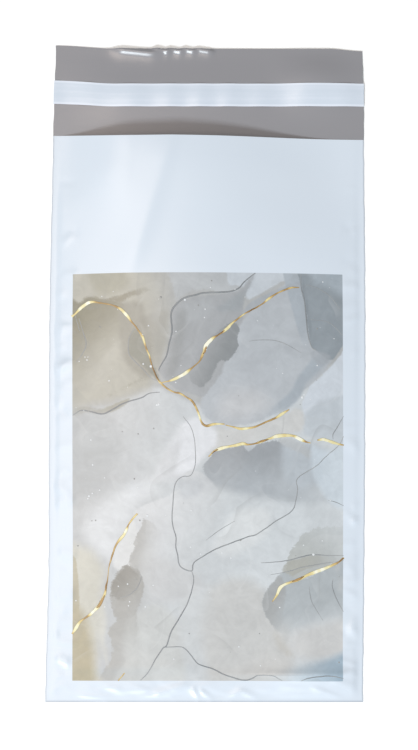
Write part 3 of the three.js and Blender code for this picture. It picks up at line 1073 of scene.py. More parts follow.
def pooled(tree, panel, colour):
    """All pools, laid on the colour given."""
    push = pushed_edges(tree, panel)
    for pool in POOLS:
        laid = node(tree, "ShaderNodeGroup", node_tree=INK_POOL, label=pool.name)
        middle_x = np.clip([x for x, y in pool.outline], 0, PRINT_WIDTH).mean()
        wired(tree, laid, Below=colour, Ink=(*as_lit(*pool.colour, middle_x), 1), Noise=push,
              Pool=attribute(tree, pool.name), Bleed=pool.bleed, Ragged=pool.ragged, Rim=pool.rim,
              Rim_width=pool.rim_width)
        colour = laid.outputs["Color"]
    return colour


print(len(EDGE_NOISES), "sizes of noise at the pools' edges")

# %% [markdown]
# Dried ink is never even. Two sizes of cloud and a grey mottle vary it, and a tide line is left where
# the edge of a wash stood for a while: a thin band along one level of a broad noise, sharp on one side.

# %% Print the panel on the white film
CLOUDS = [(0.032, 0.05), (0.12, 0.035)]  # scale, and how much lighter and darker the ink gets
MOTTLE = 0.10
# the tide lines' scale, place in the noise, colour and strength
TIDES = [(0.020, 3.0, (150, 152, 152), 0.2), (0.026, 40.0, (232, 234, 236), 0.13)]
TIDE_SHARP, TIDE_SOFT = 0.002, 0.045  # how much of the noise a tide line's two sides take up
PANEL_SOFT = 0.15  # the edge of the print is this soft, either way
SIDE_PAINTED_SHADE = 0.6  # how much painted shade greys the film at a cut side
FOLD_PAINTED_SHADE = 0.9  # and along the crest of the bottom fold


def weathered(tree, panel, colour):
    """Clouds, mottle and tide lines on the ink."""
    for scale, spread in CLOUDS:
        clouds = noise(tree, panel, scale, 5, 0.6, 1.6)
        colour = mixed(tree, 1.0, colour, ramp(tree, clouds, 0.3, 0.7, 1 - spread, 1 + spread), "MULTIPLY")
    mottle = ramp(tree, noise(tree, panel, 0.16, 6, 0.6, 1.2), 0.3, 0.75, 0.0, MOTTLE)
    colour = mixed(tree, mottle, colour, (*as_lit(168, 170, 174), 1))
    for scale, place, tone, strength in TIDES:
        moved = vector_maths(tree, "ADD", panel, (place, 2 * place, 0))
        height = maths(tree, "SUBTRACT", noise(tree, moved, scale, 1.5, 0.35, 0.7), 0.5)
        patchy = ramp(tree, noise(tree, moved, 0.04, 1), 0.45, 0.65, 0.0, strength)
        crest = maths(tree, "MULTIPLY", ramp(tree, height, 0.0, TIDE_SHARP),
                      ramp(tree, height, TIDE_SHARP, TIDE_SOFT, 1.0, 0.0))
        colour = mixed(tree, maths(tree, "MULTIPLY", crest, patchy), colour, (*as_lit(*tone), 1))
    return colour


def inside_panel(tree, panel):
    """1 on the printed panel and 0 off it."""
    parts = separated(tree, panel)
    cover = 1.0
    for axis, size in (("X", PRINT_WIDTH), ("Y", PRINT_HEIGHT)):
        near = ramp(tree, parts[axis], -PANEL_SOFT, PANEL_SOFT)
        far = ramp(tree, parts[axis], size - PANEL_SOFT, size + PANEL_SOFT, 1.0, 0.0)
        cover = maths(tree, "MULTIPLY", cover, maths(tree, "MULTIPLY", near, far))
    return cover


def film_with_painted_edge_shade(tree):
    """The film's colour, with painted shade greying it along the cut sides and the crest of the bottom fold.
    """
    flat = separated(tree, film_map(tree))
    from_middle = maths(tree, "ABSOLUTE", flat["X"])
    from_fold = maths(tree, "ABSOLUTE", flat["Y"])
    # painted shade: the film turns grey-blue towards its cut sides and along the crest of the bottom fold
    side = ramp(tree, from_middle, (HALF - 1.0) * MM, (HALF - 0.1) * MM, 0.0, SIDE_PAINTED_SHADE)
    foot = ramp(tree, from_fold, 0.2 * MM, 1.8 * MM, FOLD_PAINTED_SHADE, 0.0)
    plain = tree.nodes["film colour"].outputs[2]
    return mixed(tree, maths(tree, "MAXIMUM", side, foot), plain, (0.34, 0.37, 0.43, 1))


def print_panel(material):
    tree = material.node_tree
    panel = attribute(tree, "panel")
    across = ramp(tree, separated(tree, panel)["X"], LIGHT_FROM, LIGHT_TO)
    wash = mixed(tree, across, (*as_lit(211, 214, 217, 0), 1), (*as_lit(206, 211, 215, PRINT_WIDTH), 1))
    ink = weathered(tree, panel, pooled(tree, panel, wash))
    printed = mixed(tree, inside_panel(tree, panel), film_with_painted_edge_shade(tree), ink)
    feed(tree, tree.nodes["Principled BSDF"].inputs["Base Color"], printed)


print_panel(white_film)
print("white film:", len(white_film.node_tree.nodes), "nodes")

# %% [markdown]
# ## Gold veins, hairlines and speckles
# Gold ink runs along the edges of the pools, thick enough to feel, with fine grey lines crossing them
# and specks where drops fell. A line that follows a path on a surface is work for Geometry Nodes: the
# tree resamples the path, lets it wander, sweeps a low flat section along it as wide as the path says,
# and drops every point straight down on to the film. The specks are scattered over the panel by a
# second tree that ends in the same drop.

# %% Build the drop on to the film
INK_LIFT = 0.03  # height of a printed line's middle over the film
DROP_FROM = 60.0


def dropped(tree, flat_mesh, film_object, lift, material):
    """Nodes that lay a flat mesh on the film and give it its material, as the tree's result."""
    target = wired(tree, node(tree, "GeometryNodeObjectInfo"), Object=film_object)
    place = node(tree, "GeometryNodeInputPosition").outputs[0]
    above = vector_maths(tree, "ADD", place, (0, 0, DROP_FROM * MM))
    ray = node(tree, "GeometryNodeRaycast")
    wired(tree, ray, Target_Geometry=target.outputs["Geometry"], Source_Position=above,
          Ray_Direction=(0, 0, -1), Ray_Length=2 * DROP_FROM * MM)
    raised = maths(tree, "ADD", separated(tree, place)["Z"], lift)
    height = wired(tree, node(tree, "ShaderNodeCombineXYZ"), Z=raised)
    landed = vector_maths(tree, "ADD", ray.outputs["Hit Position"], height.outputs[0])
    moved = wired(tree, node(tree, "GeometryNodeSetPosition"), Geometry=flat_mesh, Position=landed)
    smooth = wired(tree, node(tree, "GeometryNodeSetShadeSmooth"), Geometry=moved.outputs[0])
    real = wired(tree, node(tree, "GeometryNodeRealizeInstances"), Geometry=smooth.outputs[0])
    return wired(tree, node(tree, "GeometryNodeSetMaterial"), Geometry=real.outputs[0], Material=material)


print("everything is dropped from", DROP_FROM, "mm up")

# %% Build the tree that draws a line
SECTION_SIDES = 8


def stored(tree, geometry, name, value):
    """The geometry with a number stored on each of its points."""
    made = node(tree, "GeometryNodeStoreNamedAttribute", data_type="FLOAT", domain="POINT")
    return wired(tree, made, Geometry=geometry, Name=name, Value=value).outputs[0]


def wandering(tree, given):
    """The paths in fine steps, drifting a little off their way on the flat."""
    paths = wired(tree, node(tree, "GeometryNodeObjectInfo"), Object=given["Paths"])
    fine = node(tree, "GeometryNodeResampleCurve", mode="LENGTH")
    wired(tree, fine, Curve=paths.outputs["Geometry"], Length=given["Step"])
    drift = node(tree, "ShaderNodeTexNoise", noise_dimensions="4D")
    place = node(tree, "GeometryNodeInputPosition").outputs[0]
    wired(tree, drift, Scale=260, Detail=3, W=given["Seed"], Vector=place)
    centred = vector_maths(tree, "SUBTRACT", drift.outputs["Color"], (0.5, 0.5, 0.5))
    push = node(tree, "ShaderNodeVectorMath", operation="SCALE")
    feed(tree, push.inputs[0], vector_maths(tree, "MULTIPLY", centred, (1, 1, 0)))
    feed(tree, push.inputs["Scale"], given["Wander"])
    moved = node(tree, "GeometryNodeSetPosition")
    return wired(tree, moved, Geometry=fine.outputs[0], Offset=push.outputs[0]).outputs[0]


def uneven_width(tree, given):
    """The path's own width, swelling and shrinking along it."""
    swell = node(tree, "ShaderNodeTexNoise", noise_dimensions="4D")
    place = node(tree, "GeometryNodeInputPosition").outputs[0]
    wired(tree, swell, Scale=420, Detail=2, W=given["Seed"], Vector=place)
    vary = maths(tree, "MULTIPLY", maths(tree, "SUBTRACT", swell.outputs["Fac"], 0.5), given["Uneven"])
    return maths(tree, "MULTIPLY", node(tree, "GeometryNodeInputRadius").outputs[0],
                 maths(tree, "ADD", vary, 1.0))


def line_tree():
    tree, given, out = node_group(
        "printed line", "GeometryNodeTree",
        [("Geometry", "Geometry", None), ("Paths", "Object", None), ("Film", "Object", None),
         ("Material", "Material", None), ("Step", "Float", 0.5 * MM), ("Wander", "Float", 0.3 * MM),
         ("Uneven", "Float", 0.3), ("Thickness", "Float", 0.03), ("Lift", "Float", INK_LIFT * MM),
         ("Seed", "Float", 1)],
        [("Geometry", "Geometry")])
    width = uneven_width(tree, given)
    marked = stored(tree, wandering(tree, given), "line_width", width)
    along = node(tree, "GeometryNodeSplineParameter").outputs["Length"]
    level = node(tree, "GeometryNodeSetCurveNormal", mode="Z_UP")
    feed(tree, level.inputs[0], stored(tree, marked, "along", along))
    section = wired(tree, node(tree, "GeometryNodeCurvePrimitiveCircle"), Resolution=SECTION_SIDES, Radius=1)
    squash = wired(tree, node(tree, "ShaderNodeCombineXYZ"), X=1.0, Y=given["Thickness"], Z=1.0)
    low_section = wired(tree, node(tree, "GeometryNodeTransform"), Geometry=section.outputs[0],
                        Scale=squash.outputs[0])
    swept = node(tree, "GeometryNodeCurveToMesh")
    wired(tree, swept, Curve=level.outputs[0], Profile_Curve=low_section.outputs[0], Fill_Caps=True,
          Scale=width)
    laid = dropped(tree, swept.outputs[0], given["Film"], given["Lift"], given["Material"])
    feed(tree, out.inputs[0], laid.outputs[0])
    return tree


LINE_TREE = line_tree()
print("line tree:", len(LINE_TREE.nodes), "nodes")

# %% [markdown]
# A tree only shows its result while its modifier is on the object. The result is taken as a plain mesh,
# and the modifier is removed, so that the piece can be handed on like any other.

# %% Run a tree and keep its mesh


def grown(name, tree, **inputs):
    """The plain mesh that a tree makes, as a piece. Each input is set by its socket's identifier."""
    piece = added(name, bpy.data.meshes.new(name))
    modifier = piece.modifiers.new(name, "NODES")
    modifier.node_group = tree
    for item in tree.interface.items_tree:
        if item.item_type == "SOCKET" and item.in_out == "INPUT" and item.name in inputs:
            modifier[item.identifier] = inputs[item.name]
    graph = bpy.context.evaluated_depsgraph_get()
    made = bpy.data.meshes.new_from_object(piece.evaluated_get(graph))
    piece.modifiers.remove(modifier)
    piece.data = made
    made.name = name
    solid = sum(f.center.dot(f.normal) * f.area for f in made.polygons)
    if solid < 0:
        made.flip_normals()
    print(name, len(made.polygons), "faces")
    return piece


# %% [markdown]
# The paths are points on the panel in millimetres, with the width of the line there. A smooth curve
# through them becomes a poly spline, whose radius carries the width to the tree.

# %% Lay paths on the panel
PATH_STEPS = 5
THINNEST = 0.2


def smooth_path(points):
    """An open curve through the points, with as many values each as they have."""
    p = np.array(points, float)
    p = np.concatenate([[2 * p[0] - p[1]], p, [2 * p[-1] - p[-2]]])
    curve = [curved(*four, PATH_STEPS) for four in zip(p, p[1:], p[2:], p[3:])]
    return np.concatenate([*curve, p[-2:-1]])


def under_print(x, y):
    """Places on the floor, in metres, straight under places on the printed panel."""
    s, t = on_sheet(x, y)
    floor_x, floor_y = plan(s, t)
    return np.stack([floor_x, floor_y + front_slip(s, t), 0 * floor_x], -1) * MM


def paths_on_panel(name, lines):
    """A curve object with a poly spline for each line, at floor height under its place on the film."""
    curve = bpy.data.curves.new(name, "CURVE")
    curve.dimensions = "3D"
    for line in lines:
        x, y, width = smooth_path(line).T
        places = under_print(x, y)
        spline = curve.splines.new("POLY")
        spline.points.add(len(places) - 1)
        spline.points.foreach_set("co", np.insert(places, 3, 1, axis=1).ravel())
        spline.points.foreach_set("radius", np.maximum(width, THINNEST) / 2 * MM)
    return added(name, curve)


def printed_lines(name, lines, material, **inputs):
    """Lines of ink on the film, as one piece."""
    paths = paths_on_panel(name + "_paths", lines)
    piece = grown(name, LINE_TREE, Paths=paths, Film=film, Material=material, **inputs)
    bpy.data.objects.remove(paths)
    return piece


print("paths get", PATH_STEPS, "points for every one that is given")

# %% [markdown]
# The gold is a printed ink with a satin metal pigment. It catches the light in patches, so its colour
# runs from cream through gold to brown along the line, and the widest places are the palest.

# %% Mix the ink for lines
ROUGHNESS_PATCHES = 0.06  # either way
PALER_THIN, PALER_WIDE = -0.22, 0.24  # how far the width moves the colour along its ramp


def line_ink(name, stops, wide, scale, roughness):
    """Ink for lines: a colour ramp over noise along the line, paler where the line is wide."""
    material, tree, shader = new_material(name)
    along = node(tree, "ShaderNodeAttribute", attribute_name="along").outputs["Fac"]
    patches = node(tree, "ShaderNodeTexNoise", noise_dimensions="1D")
    patch = wired(tree, patches, W=along, Scale=scale, Detail=1.5, Roughness=0.6).outputs["Fac"]
    width = node(tree, "ShaderNodeAttribute", attribute_name="line_width").outputs["Fac"]
    paler = ramp(tree, width, wide[0] / 2 * MM, wide[1] / 2 * MM, PALER_THIN, PALER_WIDE)
    tone = node(tree, "ShaderNodeValToRGB")
    feed(tree, tone.inputs["Fac"], maths(tree, "ADD", patch, paler))
    elements = tone.color_ramp.elements
    while len(elements) < len(stops):
        elements.new(0.5)
    for element, (position, colour) in zip(elements, stops):
        element.position = position
        element.color = (*colour, 1)
    rough = ramp(tree, patch, 0.3, 0.7, roughness + ROUGHNESS_PATCHES, roughness - ROUGHNESS_PATCHES)
    wired(tree, shader, Base_Color=tone.outputs["Color"], Roughness=rough)
    return material


GOLD = [(0.26, (0.36, 0.23, 0.09)), (0.38, (0.55, 0.40, 0.17)), (0.50, (0.67, 0.56, 0.27)),
        (0.64, (0.75, 0.69, 0.41)), (0.78, (0.84, 0.82, 0.68))]
BROWNS = [(0.35, (0.20, 0.11, 0.04)), (0.65, (0.40, 0.25, 0.10))]
gold_ink = line_ink("gold ink", GOLD, (0.6, 2.2), 130, 0.3)
brown_ink = line_ink("brown ink", BROWNS, (0.4, 1.4), 500, 0.34)
print("inks:", gold_ink.name, "and", brown_ink.name)

# %% Draw the gold veins and their brown shades
VEINS = [
    [(-0.4, 196.5, 1.4), (1.5, 198, 1.0), (5, 201.5, 1.8), (9.5, 204, 1.5), (15, 203.5, 0.8),
     (22, 202, 0.8), (26, 200, 1.3), (29, 197, 1.7), (32, 193, 0.9), (35.5, 188.5, 0.8), (38, 184.5, 1.3),
     (39.5, 179.5, 0.9), (41.5, 174.5, 0.8), (43, 169, 0.7), (45.5, 163, 0.8), (47.5, 160, 1.1),
     (51, 157, 0.9), (55, 155, 0.8), (57.5, 154.5, 1.1), (61, 152.5, 0.8), (64, 150.5, 1.1),
     (67, 145.5, 1.1), (69, 139.5, 1.0), (71.5, 137, 1.4), (76, 138, 1.3), (81.5, 138, 0.6)],
    [(82, 137.5, 0.5), (86, 136.5, 0.8), (90.5, 135.5, 1.4), (97.5, 136.5, 1.0), (103, 139, 0.9),
     (109, 141.5, 1.2), (112, 143.5, 1.6), (116, 146, 0.5)],
    [(47.5, 160, 0.6), (51.5, 161, 0.7), (54.5, 162, 1.6), (59.5, 164.5, 1.7), (61.5, 166, 1.9),
     (64, 168, 0.9), (68, 171.5, 0.7), (69.5, 174.5, 1.4), (70.5, 177, 1.2), (71.5, 180, 2.3),
     (74.5, 183.5, 1.8), (78.5, 186, 0.7), (82.5, 189, 1.7), (86.5, 193, 1.0), (92.5, 197.5, 0.7),
     (98, 200.5, 0.8), (102, 203, 0.7), (105, 205.5, 1.3), (109.5, 208.5, 0.8), (116.5, 211.5, 1.0),
     (121.5, 212, 0.4)],
    [(73, 120.5, 0.6), (76, 123.5, 0.9), (79.5, 125, 1.9), (83.5, 126, 1.3), (87, 126.5, 1.5),
     (91, 127.5, 1.8), (94, 127, 1.0), (97.5, 127.5, 0.8), (100.5, 128.5, 1.5), (103.5, 129.5, 1.0),
     (107.5, 131, 1.6), (110, 131.7, 2.2), (113.5, 132, 1.9), (118, 131.8, 1.3), (120.5, 130.7, 2.0),
     (123, 129.5, 1.7), (125, 128.5, 0.9), (127.5, 128, 0.5)],
    [(131, 129.5, 0.6), (134, 130, 1.6), (136.5, 129.3, 1.5), (139, 128.5, 1.6), (142, 127.5, 1.2),
     (145.4, 126.8, 0.7)],
    [(35, 90, 1.0), (32, 86.5, 1.0), (30, 83.5, 0.8), (29.3, 81.5, 1.5), (28, 79, 1.5), (26, 76.5, 1.6),
     (23.5, 73, 1.0), (22, 69, 1.0), (20.7, 65, 0.8), (19.5, 60, 0.45), (19, 54.5, 0.6), (18.2, 51.5, 1.1),
     (17.9, 48.5, 1.1), (17, 45.5, 1.5), (14, 40, 1.8), (11.5, 37.5, 1.6), (9.5, 35.5, 1.5),
     (6.5, 33.5, 0.8), (4, 31.5, 1.4), (2, 28.5, 1.9), (-0.3, 25, 0.8)],
    [(107, 42.5, 0.4), (109.5, 46, 1.3), (111, 49.5, 1.9), (113.5, 51.7, 1.5), (117, 53, 1.2),
     (119.5, 53.7, 1.4), (122.5, 55, 1.5), (125.5, 56.5, 1.4), (129, 58, 1.9), (133, 59.5, 1.9),
     (137, 61, 1.5), (141, 62.8, 1.3), (142.7, 63.7, 0.8), (145.4, 66, 1.0)],
    [(24.5, 0, 0.6), (28, 4.2, 0.6)],
]
BROWN = [
    [(42.8, 170, 0.3), (44, 166.5, 0.6), (45.8, 162.5, 0.5), (47, 160.5, 0.2)],
    [(70, 175.5, 0.5), (71, 177, 1.0), (71.4, 179, 1.1), (72, 180.5, 0.4)],
    [(77, 185, 0.3), (79.5, 187, 0.6), (81.5, 188.3, 0.3)],
    [(94, 198, 0.2), (96.5, 199.7, 0.6), (99, 201, 0.2)],
    [(99.5, 128.2, 0.4), (101.5, 129, 1.1), (103.5, 129.4, 0.8), (105, 129.8, 0.2)],
    [(74.5, 122, 0.3), (77, 124, 0.7), (78.5, 124.7, 0.3)],
    [(18.6, 53.5, 0.3), (18.2, 51, 0.6), (18, 48.5, 0.4)],
    [(17.3, 46, 0.4), (16.2, 43.5, 1.4), (14.5, 40.7, 1.5), (13, 39, 0.6)],
    [(117.5, 53.2, 0.3), (119.5, 53.9, 1.1), (121.5, 54.7, 1.2), (124, 56, 0.4)],
    [(143, 64, 0.3), (144.3, 65, 0.7), (145.2, 65.8, 0.6)],
]
GOLD_LINE = {"Step": 0.45 * MM, "Wander": 0.5 * MM, "Uneven": 0.5, "Thickness": 0.05, "Seed": 3.0}
veins = printed_lines("gold_veins", VEINS, gold_ink, **GOLD_LINE)
shades = printed_lines("brown_shades", BROWN, brown_ink, Lift=2 * INK_LIFT * MM, **GOLD_LINE)

# %% [markdown]
# The hairlines are grey ink, finer than a pen line and thinner still at both ends. They lie closer to
# the film than the gold does, so the gold covers them where the two cross.

# %% Draw the hairlines
HAIR_LIFT = 0.012
END_SHARE, MIDDLE_SHARE = 0.65, 0.55  # of the width: at both ends, and added in the middle
# how wide and strong each of them is, and its points
HAIRLINES = [
    (0.8, [(46.5, 166.5), (47, 168.5), (50.5, 174.5), (52, 181.5), (53.5, 188), (53, 197), (55.5, 202),
           (60, 205.5), (67, 207.5), (71, 208.5), (83, 209), (89, 211), (92, 214.5), (98, 219.4)]),
    (0.6, [(0, 142.8), (5, 145.5), (11, 144.5), (16.5, 143.5), (22, 146), (28.5, 149.5), (37, 152),
           (41.5, 154.5), (47, 155)]),
    (0.5, [(59.5, 142), (63.5, 136.5), (65.5, 129), (66, 118), (64.5, 112), (62.5, 110), (59.5, 110),
           (56, 107.5), (54.5, 103), (54, 95.5), (53.5, 88), (54, 83), (55.5, 77.5), (55.5, 72),
           (56.5, 67.5), (57, 63.5), (59, 60.5), (64, 59), (64.5, 62), (65.5, 64), (68.5, 66), (77, 71),
           (87.5, 75), (94, 77.5), (98, 78.5), (103.5, 82), (109, 86), (113.5, 88.5), (118, 92),
           (119.5, 97), (120.5, 103), (120.5, 109), (130.5, 115.5), (136, 121), (142.5, 126.5),
           (145.2, 131.5)]),
    (0.58, [(64, 59), (65, 53.5), (62, 42.5), (57.5, 34), (53, 26.5), (50.5, 19), (48.5, 17.5),
            (44.5, 11.5), (40.5, 4.5), (36.5, 0.2)]),
    (0.55, [(49.5, 18), (54.5, 18.2), (59, 18), (62.5, 15), (66, 10.5), (68.5, 8.5), (75, 6.5), (81, 3.5),
            (85.5, 2), (91, 0.4), (94.5, 0.6), (97.5, 2), (99.5, 3), (107, 3), (110, 1.5), (112.5, 0.2)]),
    (0.5, [(122.5, 0.2), (127.5, 2), (137.5, 3), (145.3, 1.5)]),
    (0.4, [(145.2, 142.5), (141.5, 136), (139.5, 132.5), (139.5, 130)]),
    (0.5, [(1.5, 197), (4, 188.5)]),
    (0.4, [(3.5, 195.5), (6, 187.5), (7.5, 182), (6, 177), (2, 171.5)]),
    (0.45, [(101, 63.4), (108, 63.8), (115, 64.6), (121.5, 66.2), (128, 67.7), (138, 67.2), (145.3, 67.2)]),
    (0.35, [(106, 57), (115, 58.6), (122.5, 60.8), (131.5, 62.5), (145.3, 64.5)]),
    (0.35, [(126.8, 50.5), (127.3, 46), (129, 40.8), (134.3, 32.3)]),
    (0.4, [(139.7, 55), (139.2, 50.5), (141.9, 43), (145.2, 37)]),
    (0.32, [(137, 97), (141, 96), (145.3, 94)]),
    (0.3, [(71.5, 75.5), (78, 80.5), (87, 86)]),
    (0.3, [(94.5, 182.5), (99.5, 183.2), (108.5, 183), (115.5, 180.5), (122.5, 176.5)]),
    (0.3, [(127.5, 194.5), (135, 194), (140, 191.5), (144.5, 186.5)]),
    (0.3, [(125, 213.5), (132, 211.5), (138.5, 207), (143.5, 200.5)]),
    (0.38, [(33.5, 189.5), (30.5, 183.5), (30.5, 176), (34, 171.5), (38.5, 167), (42.5, 162.5), (46, 161)]),
    (0.35, [(36, 58), (37, 55.5), (35, 50.5), (31, 46.5), (25.5, 44.5)]),
    (0.5, [(122.5, 219), (122.5, 211.5), (124, 206.5), (125, 197.5), (126, 187), (128, 180), (130.5, 178)]),
]


def thinned(line, width):
    """The points of a line, with the width there."""
    turns = np.linspace(0, math.pi, len(line))
    return [(x, y, width * (END_SHARE + MIDDLE_SHARE * math.sin(turn))) for (x, y), turn in zip(line, turns)]


GREYS = [(0.2, as_lit(182, 184, 185)), (0.5, as_lit(162, 165, 168)), (0.8, as_lit(143, 147, 151))]
grey_ink = line_ink("grey line ink", GREYS, (0.25, 0.7), 60, 0.34)
hairs = [thinned(line, width) for width, line in HAIRLINES]
hairlines = printed_lines("grey_hairlines", hairs, grey_ink, Step=0.8 * MM, Wander=0.5 * MM, Uneven=0.4,
                          Thickness=0.06, Lift=HAIR_LIFT * MM, Seed=9.0)

# %% [markdown]
# A speck is a tiny dome. The tree scatters points over a flat copy of the panel, adds the larger drops
# whose places are given, puts a dome on each and drops them all on the film.

# %% Build the tree that scatters specks
SPECK_LIFT = 0.01
SPECK_FLATNESS = 0.08
RARE = 2.2  # above 1, large specks are rarer than small ones


def speck_tree():
    tree, given, out = node_group(
        "specks", "GeometryNodeTree",
        [("Geometry", "Geometry", None), ("Panel", "Object", None), ("Drops", "Object", None),
         ("Film", "Object", None), ("Material", "Material", None), ("Per square metre", "Float", 3000),
         ("Smallest", "Float", 0.2 * MM), ("Largest", "Float", 0.7 * MM), ("Seed", "Int", 1)],
        [("Geometry", "Geometry")])
    panel = wired(tree, node(tree, "GeometryNodeObjectInfo"), Object=given["Panel"])
    scatter = node(tree, "GeometryNodeDistributePointsOnFaces")
    wired(tree, scatter, Mesh=panel.outputs["Geometry"], Density=given["Per square metre"],
          Seed=given["Seed"])
    chance = node(tree, "FunctionNodeRandomValue", data_type="FLOAT")
    feed(tree, chance.inputs["Seed"], given["Seed"])
    rare = maths(tree, "POWER", chance.outputs[1], RARE)
    size = ramp(tree, rare, 0.0, 1.0, given["Smallest"], given["Largest"])
    drops = wired(tree, node(tree, "GeometryNodeObjectInfo"), Object=given["Drops"])
    drop_points = wired(tree, node(tree, "GeometryNodeMeshToPoints"), Mesh=drops.outputs["Geometry"])
    every = node(tree, "GeometryNodeJoinGeometry")
    feed(tree, every.inputs[0], stored(tree, scatter.outputs[0], "size", size))
    feed(tree, every.inputs[0], drop_points.outputs[0])
    how_big = wired(tree, node(tree, "GeometryNodeInputNamedAttribute", data_type="FLOAT"), Name="size")
    dome = wired(tree, node(tree, "GeometryNodeMeshUVSphere"), Segments=8, Rings=5, Radius=1)
    low = node(tree, "GeometryNodeTransform")
    wired(tree, low, Geometry=dome.outputs[0], Scale=(1, 1, SPECK_FLATNESS))
    domes = node(tree, "GeometryNodeInstanceOnPoints")
    wired(tree, domes, Points=every.outputs[0], Instance=low.outputs[0], Scale=how_big.outputs[0])
    real = wired(tree, node(tree, "GeometryNodeRealizeInstances"), Geometry=domes.outputs[0])
    laid = dropped(tree, real.outputs[0], given["Film"], SPECK_LIFT * MM, given["Material"])
    feed(tree, out.inputs[0], laid.outputs[0])
    return tree


SPECK_TREE = speck_tree()
print("speck tree:", len(SPECK_TREE.nodes), "nodes")

# %% Lay out the panel and the drops
CLEAR_EDGE = 2  # no scattered specks this close to the panel's edge


def panel_outline():
    """A flat grid under the panel, for the specks to be scattered on."""
    x, y = np.meshgrid(np.linspace(CLEAR_EDGE, PRINT_WIDTH - CLEAR_EDGE, 12),
                       np.linspace(CLEAR_EDGE, PRINT_HEIGHT - CLEAR_EDGE, 18))
    quads, _ = grid_quads(*x.shape)
    mesh = bpy.data.meshes.new("panel_outline")
    mesh.from_pydata(under_print(x, y).reshape(-1, 3).tolist(), [], quads.tolist())
    return added("panel_outline", mesh)


def placed_drops(name, drops):
    """A mesh of loose points, one for each drop (x, y, width) on the panel, with its size."""
    x, y, width = np.array(drops, float).T
    mesh = bpy.data.meshes.new(name)
    mesh.from_pydata(under_print(x, y).tolist(), [], [])
    mesh.attributes.new("size", "FLOAT", "POINT").data.foreach_set("value", width / 2 * MM)
    return added(name, mesh)


WHITE_DROPS = [
    (6.9, 174.4, 0.7), (8.5, 174.4, 0.6), (8, 172.8, 0.9), (3.7, 172.1, 0.7), (38.2, 170.3, 1.0),
    (42.3, 169, 1.6), (55.7, 187.7, 0.8), (70.8, 195.2, 0.8), (19.9, 161.4, 0.9), (55.5, 160.3, 0.8),
    (45.4, 148.3, 1.2), (46.4, 148.6, 1.3), (60.4, 204.7, 1.3), (37.7, 185.9, 1.1), (38.3, 183.5, 0.9),
    (15.9, 207, 0.6), (134.3, 215.2, 0.8), (140.2, 184.5, 0.7), (112.5, 165.4, 0.7), (123, 152.6, 1.5),
    (124, 154, 0.8), (58.3, 169.4, 0.6), (99, 193.7, 0.6), (74, 211.4, 0.7), (11.1, 116.2, 1.0),
    (17.5, 109.2, 0.8), (9.1, 99.4, 1.2), (10.9, 100.8, 0.9), (8.5, 97.9, 0.9), (14.8, 102.6, 0.8),
    (30.7, 42.5, 0.9), (30.1, 40.3, 0.8), (39.1, 39.8, 0.9), (24.7, 50.8, 0.8), (85, 66.1, 0.9),
    (89.3, 18.3, 0.9), (111.1, 39.4, 0.9), (123.8, 72.9, 0.8), (129.1, 67.9, 1.5), (133.8, 75.2, 0.7),
    (1.8, 43, 0.8), (40.3, 88.9, 1.3),
]
GREY_DROPS = [
    (35.5, 132.7, 0.9), (10.6, 86, 0.7), (12.6, 86.2, 0.9), (2.9, 72.5, 0.9), (47.5, 206, 1.4),
    (15, 190.5, 0.9), (62.6, 25.3, 0.8), (100.3, 25.3, 0.7), (142.9, 10, 0.9), (27, 134, 0.7),
]
print(len(WHITE_DROPS), "white drops and", len(GREY_DROPS), "grey ones")

# %% Scatter the specks


def speck_ink(name, colour, other):
    material, tree, shader = new_material(name)
    place = node(tree, "ShaderNodeTexCoord").outputs["Object"]
    tone = mixed(tree, noise(tree, place, 300), (*colour, 1), (*other, 1))
    wired(tree, shader, Base_Color=tone, Roughness=0.32)
    return material


def specks(name, drops, seed, ink, per_square_metre, smallest, largest):
    """Scattered specks and placed drops of one ink, as one piece."""
    places = placed_drops(name + "_drops", drops)
    sizes = {"Per square metre": per_square_metre, "Smallest": smallest * MM, "Largest": largest * MM}
    piece = grown(name, SPECK_TREE, Panel=panel_grid, Drops=places, Film=film, Seed=seed, Material=ink,
                  **sizes)
    bpy.data.objects.remove(places)
    return piece


panel_grid = panel_outline()
white_ink = speck_ink("white speck ink", (0.74, 0.76, 0.78), (0.6, 0.62, 0.64))
dark_ink = speck_ink("grey speck ink", as_lit(150, 150, 148), as_lit(175, 176, 176))
white_specks = specks("white_specks", WHITE_DROPS, 4, white_ink, 2600.0, 0.12, 0.45)
grey_specks = specks("grey_specks", GREY_DROPS, 11, dark_ink, 900.0, 0.2, 0.5)
bpy.data.objects.remove(panel_grid)
LINES = [veins, shades, hairlines, white_specks, grey_specks]

# %% [markdown]
# ## The adhesive band and its release liner
# The liner is a strip of siliconed film that lies on the adhesive along the flap. Both follow the
# flap's waves. They are made with the same sheet maker as the bag.

# %% Lay the strips on the flap
CONTACT = 0.01
ADHESIVE_THICK = 0.04
LINER_THICK = 0.05
LINER_RIPPLE = 0.22  # half the height of the liner's short ripples
STRIP_STEP = 0.9


def ripples(s):
    """0 to 2, in ripples that crowd together and spread out along the strip."""
    return 1 + np.cos((s + 6) / 3.1 + 1.2 * np.sin(s / 17))


def strip(name, along, over, thick, spare, ripple=0.0):
    """A strip across the flap between two distances up the sheet, its underside over the film's face.

    It is longer than the flap is wide by twice the spare.
    """
    s, t = np.meshgrid(ACROSS * (1 + spare / HALF), stretches(along[0], (along[1], STRIP_STEP)))
    x, y = plan(s, t)
    z = flap_rise(s, t) + FILM + over + thick / 2 + ripple * ripples(s)
    outer, inner = sheet_points(np.stack([x, y, z], -1), thick)
    flat = np.stack([s, t], -1) * MM
    u = (s - s.min()) / np.ptp(s)
    v = (t - t.min()) / np.ptp(t)
    bake = np.stack([placed((0.01, 0.52), (0.98, 0.46), u, v), placed((0.01, 0.01), (0.98, 0.46), u, v)])
    return sheet_mesh(name, outer, inner, np.stack([flat, flat]), bake)


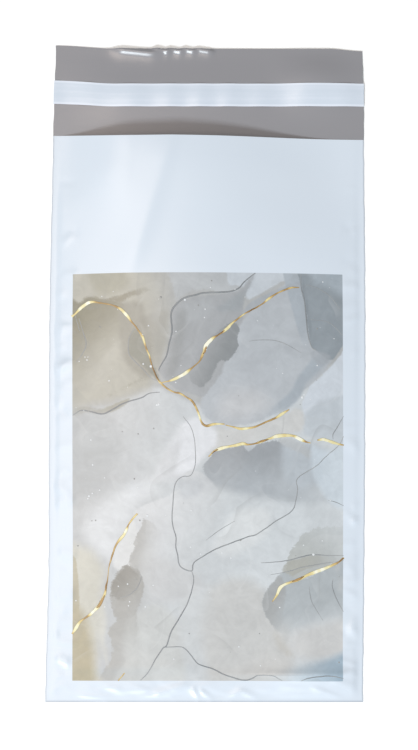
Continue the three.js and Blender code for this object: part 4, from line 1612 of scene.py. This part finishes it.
adhesive = strip("adhesive_band", ADHESIVE, CONTACT, ADHESIVE_THICK, -0.6)
liner = strip("liner_strip", LINER, 2 * CONTACT + ADHESIVE_THICK, LINER_THICK, 0.3, LINER_RIPPLE)
print("strips:", liner.name, adhesive.name)

# %% [markdown]
# The liner is slit from a wide roll. Its colour is paler along each cut edge, and fine extrusion
# lines run along the strip. The adhesive under it is a cloudy cream.

# %% Finish the strips
EDGE_FROM, EDGE_TO = 0.8, 1.4  # the pale line fades out between these distances from the cut edge


def line_the_liner(material):
    """Fine lines along the liner and a paler line along each of its cut edges."""
    tree = material.node_tree
    texture = next(n for n in tree.nodes if n.type == "GROUP")
    lines = ramp(tree, texture.outputs["Height"], 0.4, 0.62, 0.0, 0.4)
    lined = mixed(tree, lines, tree.nodes["film colour"].outputs[2], (0.66, 0.71, 0.80, 1))
    up = separated(tree, film_map(tree))["Y"]
    near = ramp(tree, up, (LINER[0] + EDGE_FROM) * MM, (LINER[0] + EDGE_TO) * MM, 1.0, 0.0)
    far = ramp(tree, up, (LINER[1] - EDGE_TO) * MM, (LINER[1] - EDGE_FROM) * MM)
    edged = mixed(tree, maths(tree, "ADD", near, far), lined, (0.69, 0.74, 0.83, 1))
    feed(tree, tree.nodes["Principled BSDF"].inputs["Base Color"], edged)


liner_finish = film_finish("release liner", (0.61, 0.67, 0.755), (0.565, 0.63, 0.72), 0.26, 0.6, 0.02, 0.15)
line_the_liner(liner_finish)
adhesive_finish = film_finish("hot melt adhesive", (0.62, 0.60, 0.52), (0.55, 0.53, 0.45), 0.2, 0.6, 0.5, 0.9)
for piece, finish in ((liner, liner_finish), (adhesive, adhesive_finish)):
    piece.data.materials.append(finish)
    piece.data.materials.append(finish)
print("finishes:", liner_finish.name, "and", adhesive_finish.name)

# %% [markdown]
# ## Hand the pieces to the frame
# Each piece stands for its node of the imported model and rides on the one body.

for piece, cad_node in ((film, "mailer_film"), (liner, "release_liner"), (adhesive, "adhesive_strip")):
    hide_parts(cad_node)
    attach(piece, "root")
for piece in LINES:
    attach(piece, "root")
print(3 + len(LINES), "pieces")

# %% Finish
print("finished")
